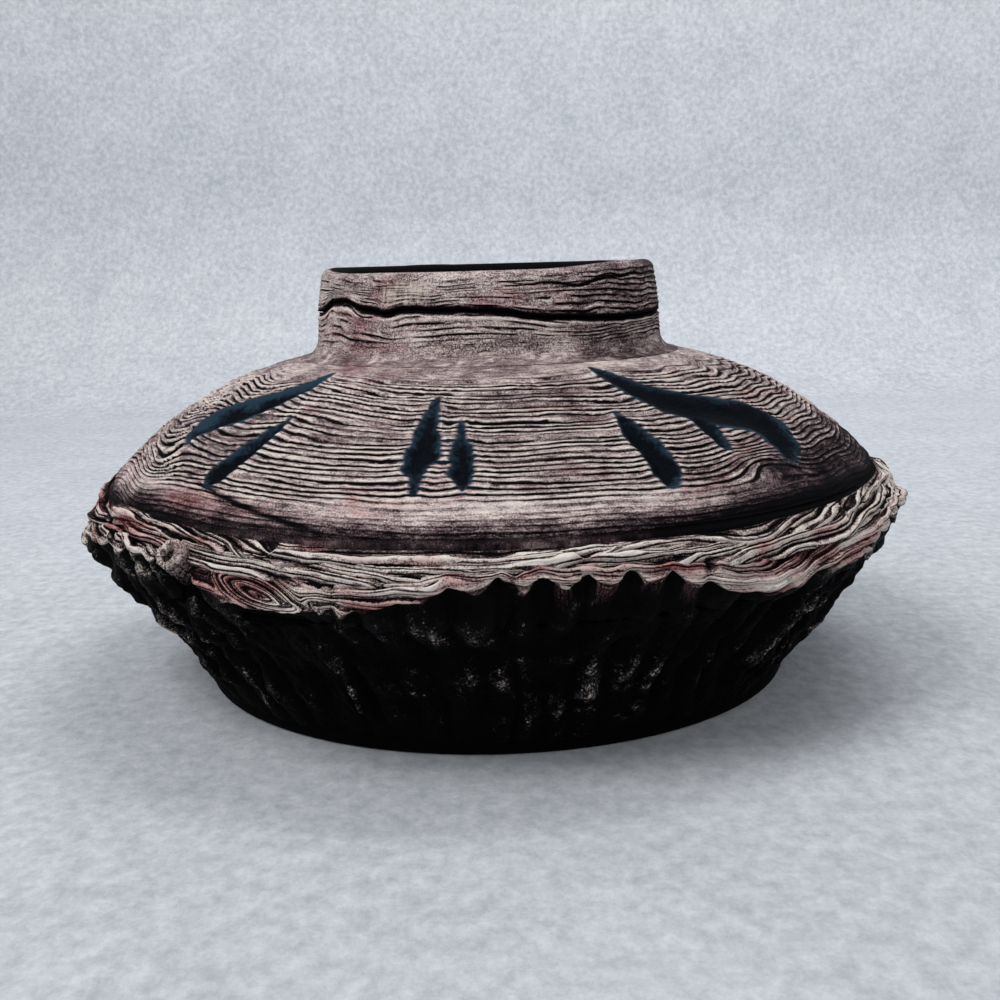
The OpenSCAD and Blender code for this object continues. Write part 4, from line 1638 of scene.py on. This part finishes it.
@dataclass
class Vase:
    """All the pieces of the vase, in the order in which it is built up."""

    lip_ends: tuple[float, ...] = (-36, -18, 2, 24, 74, 120, 170, 220, 268, 318)
    middle_ends: tuple[float, ...] = (-60, 10, 62, 140, 220, 300)
    upper_ends: tuple[float, ...] = (-100, -26, 50, 150, 260)

    def belt(self, material: bpy.types.Material) -> None:
        """Wrap the three layers of torn strips round the seam."""
        shape = BeltShape()
        layers = ((Tier.LIP, self.lip_ends), (Tier.MIDDLE, self.middle_ends), (Tier.UPPER, self.upper_ends))
        for tier, ends in layers:
            for number, (first, last) in enumerate(zip(ends, ends[1:]), start=1):
                BeltStrip(tier, number, first, last, shape).build(material)

    def build(self) -> None:
        """Make every piece and dress the solids that stay."""
        bark = BarkFinish("bark clay").material()
        belt = BarkFinish("belt clay", crest=srgb(212, 200, 192), body=srgb(132, 113, 111),
                          low=srgb(54, 42, 45), red_share=0.3).material()
        # The bowl's black slip carries painted shade of the lower body as well as its own dark colour
        char = SlipShadeFinish("black slip").material()
        inside = DarkInside("inner clay").material()
        PleatedBowl().build(char)
        ShoulderDome().build(bark)
        for band in Band:
            NeckBand(band).build(bark)
        self.belt(belt)
        CurlRoll().build(belt)
        for node, finish in (("foot_slab", char), ("seam_coil", inside)):
            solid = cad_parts[node]
            solid.data.materials.clear()
            solid.data.materials.append(finish)
            LOG.info("%s: kept solid", node)


@dataclass(frozen=True)
class SoftLamp:
    """A soft square lamp, in metres: where it hangs, its side, its strength and the point that it faces."""

    name: str
    place: Place
    side: float
    watts: float
    target: Place = (0.0, 0.0, 0.08)

    def hang(self) -> None:
        """Put the lamp into the scene."""
        light = bpy.data.lights.new(self.name, "AREA")
        light.shape = "SQUARE"
        light.size = self.side
        light.energy = self.watts
        lamp = bpy.data.objects.new(self.name, light)
        lamp.location = self.place
        facing = Vector(self.target) - Vector(self.place)
        lamp.rotation_euler = facing.to_track_quat("-Z", "Y").to_euler()
        bpy.context.scene.collection.objects.link(lamp)


@dataclass(frozen=True)
class Studio:
    """Floor, backdrop, soft light and camera."""

    floor_start: float = -2200.0
    floor_end: float = 900.0
    bend: float = 260.0
    wall_top: float = 1700.0
    half_width: float = 2600.0
    distance: float = 520.0
    eye_z: float = 165.4
    aside: float = 2.74
    pitch: float = 10.83
    roll: float = -1.53
    lens: float = 44.73
    sky: Colour = (0.95, 0.97, 1.0)
    sky_strength: float = 0.5
    lamps: tuple[SoftLamp, ...] = (
        SoftLamp("key", (-0.9, -0.8, 1.6), 0.8, 19.0),
        SoftLamp("front fill", (0.1, -2.4, 1.1), 1.6, 8.0),
        SoftLamp("backdrop wash", (0.5, 0.3, 2.0), 1.0, 28.0, (0.5, 1.16, 1.5)))

    def sweep(self, material: bpy.types.Material) -> None:
        """Lay the felt on the floor and up the wall behind, in one curve."""
        work = bmesh.new()
        curve = arc((self.floor_end, self.bend), self.bend, np.linspace(-math.pi / 2, 0, 24))
        path = [(self.floor_start, 0.0), *curve.tolist(), (self.floor_end + self.bend, self.wall_top)]
        verts = [work.verts.new((-self.half_width * MM, y * MM, z * MM)) for y, z in path]
        edges = [work.edges.new(pair) for pair in zip(verts, verts[1:])]
        made = bmesh.ops.extrude_edge_only(work, edges=edges)["geom"]
        far = [item for item in made if isinstance(item, bmesh.types.BMVert)]
        bmesh.ops.translate(work, vec=(2 * self.half_width * MM, 0, 0), verts=far)
        felt = finished("felt", work)
        felt.data.materials.append(material)

    def look(self) -> None:
        """Set up the camera at the photograph's angle."""
        data = bpy.data.cameras.new("camera")
        data.lens = self.lens
        data.sensor_width = 36.0
        data.clip_start = 0.01
        camera = bpy.data.objects.new("camera", data)
        camera.location = (self.aside * MM, -self.distance * MM, self.eye_z * MM)
        tilt = Euler((math.radians(90 - self.pitch), 0, 0)).to_matrix()
        twist = Euler((0, 0, math.radians(self.roll))).to_matrix()
        camera.rotation_euler = (tilt @ twist).to_euler()
        bpy.context.scene.collection.objects.link(camera)
        bpy.context.scene.camera = camera

    def build(self) -> None:
        """Set up the stage, the lamps and the camera."""
        self.sweep(FeltFinish("grey felt").material())
        for lamp in self.lamps:
            lamp.hang()
        world = bpy.data.worlds.new("studio")
        world.use_nodes = True
        background = world.node_tree.nodes["Background"]
        background.inputs["Color"].default_value = (*self.sky, 1.0)
        background.inputs["Strength"].default_value = self.sky_strength
        bpy.context.scene.world = world
        self.look()


def main() -> None:
    """Build the studio and the vase."""
    logging.basicConfig(level=logging.INFO, format="%(name)s: %(message)s")
    bpy.context.scene.view_settings.view_transform = "Standard"
    Studio().build()
    Vase().build()


if __name__ == "__main__":
    main()
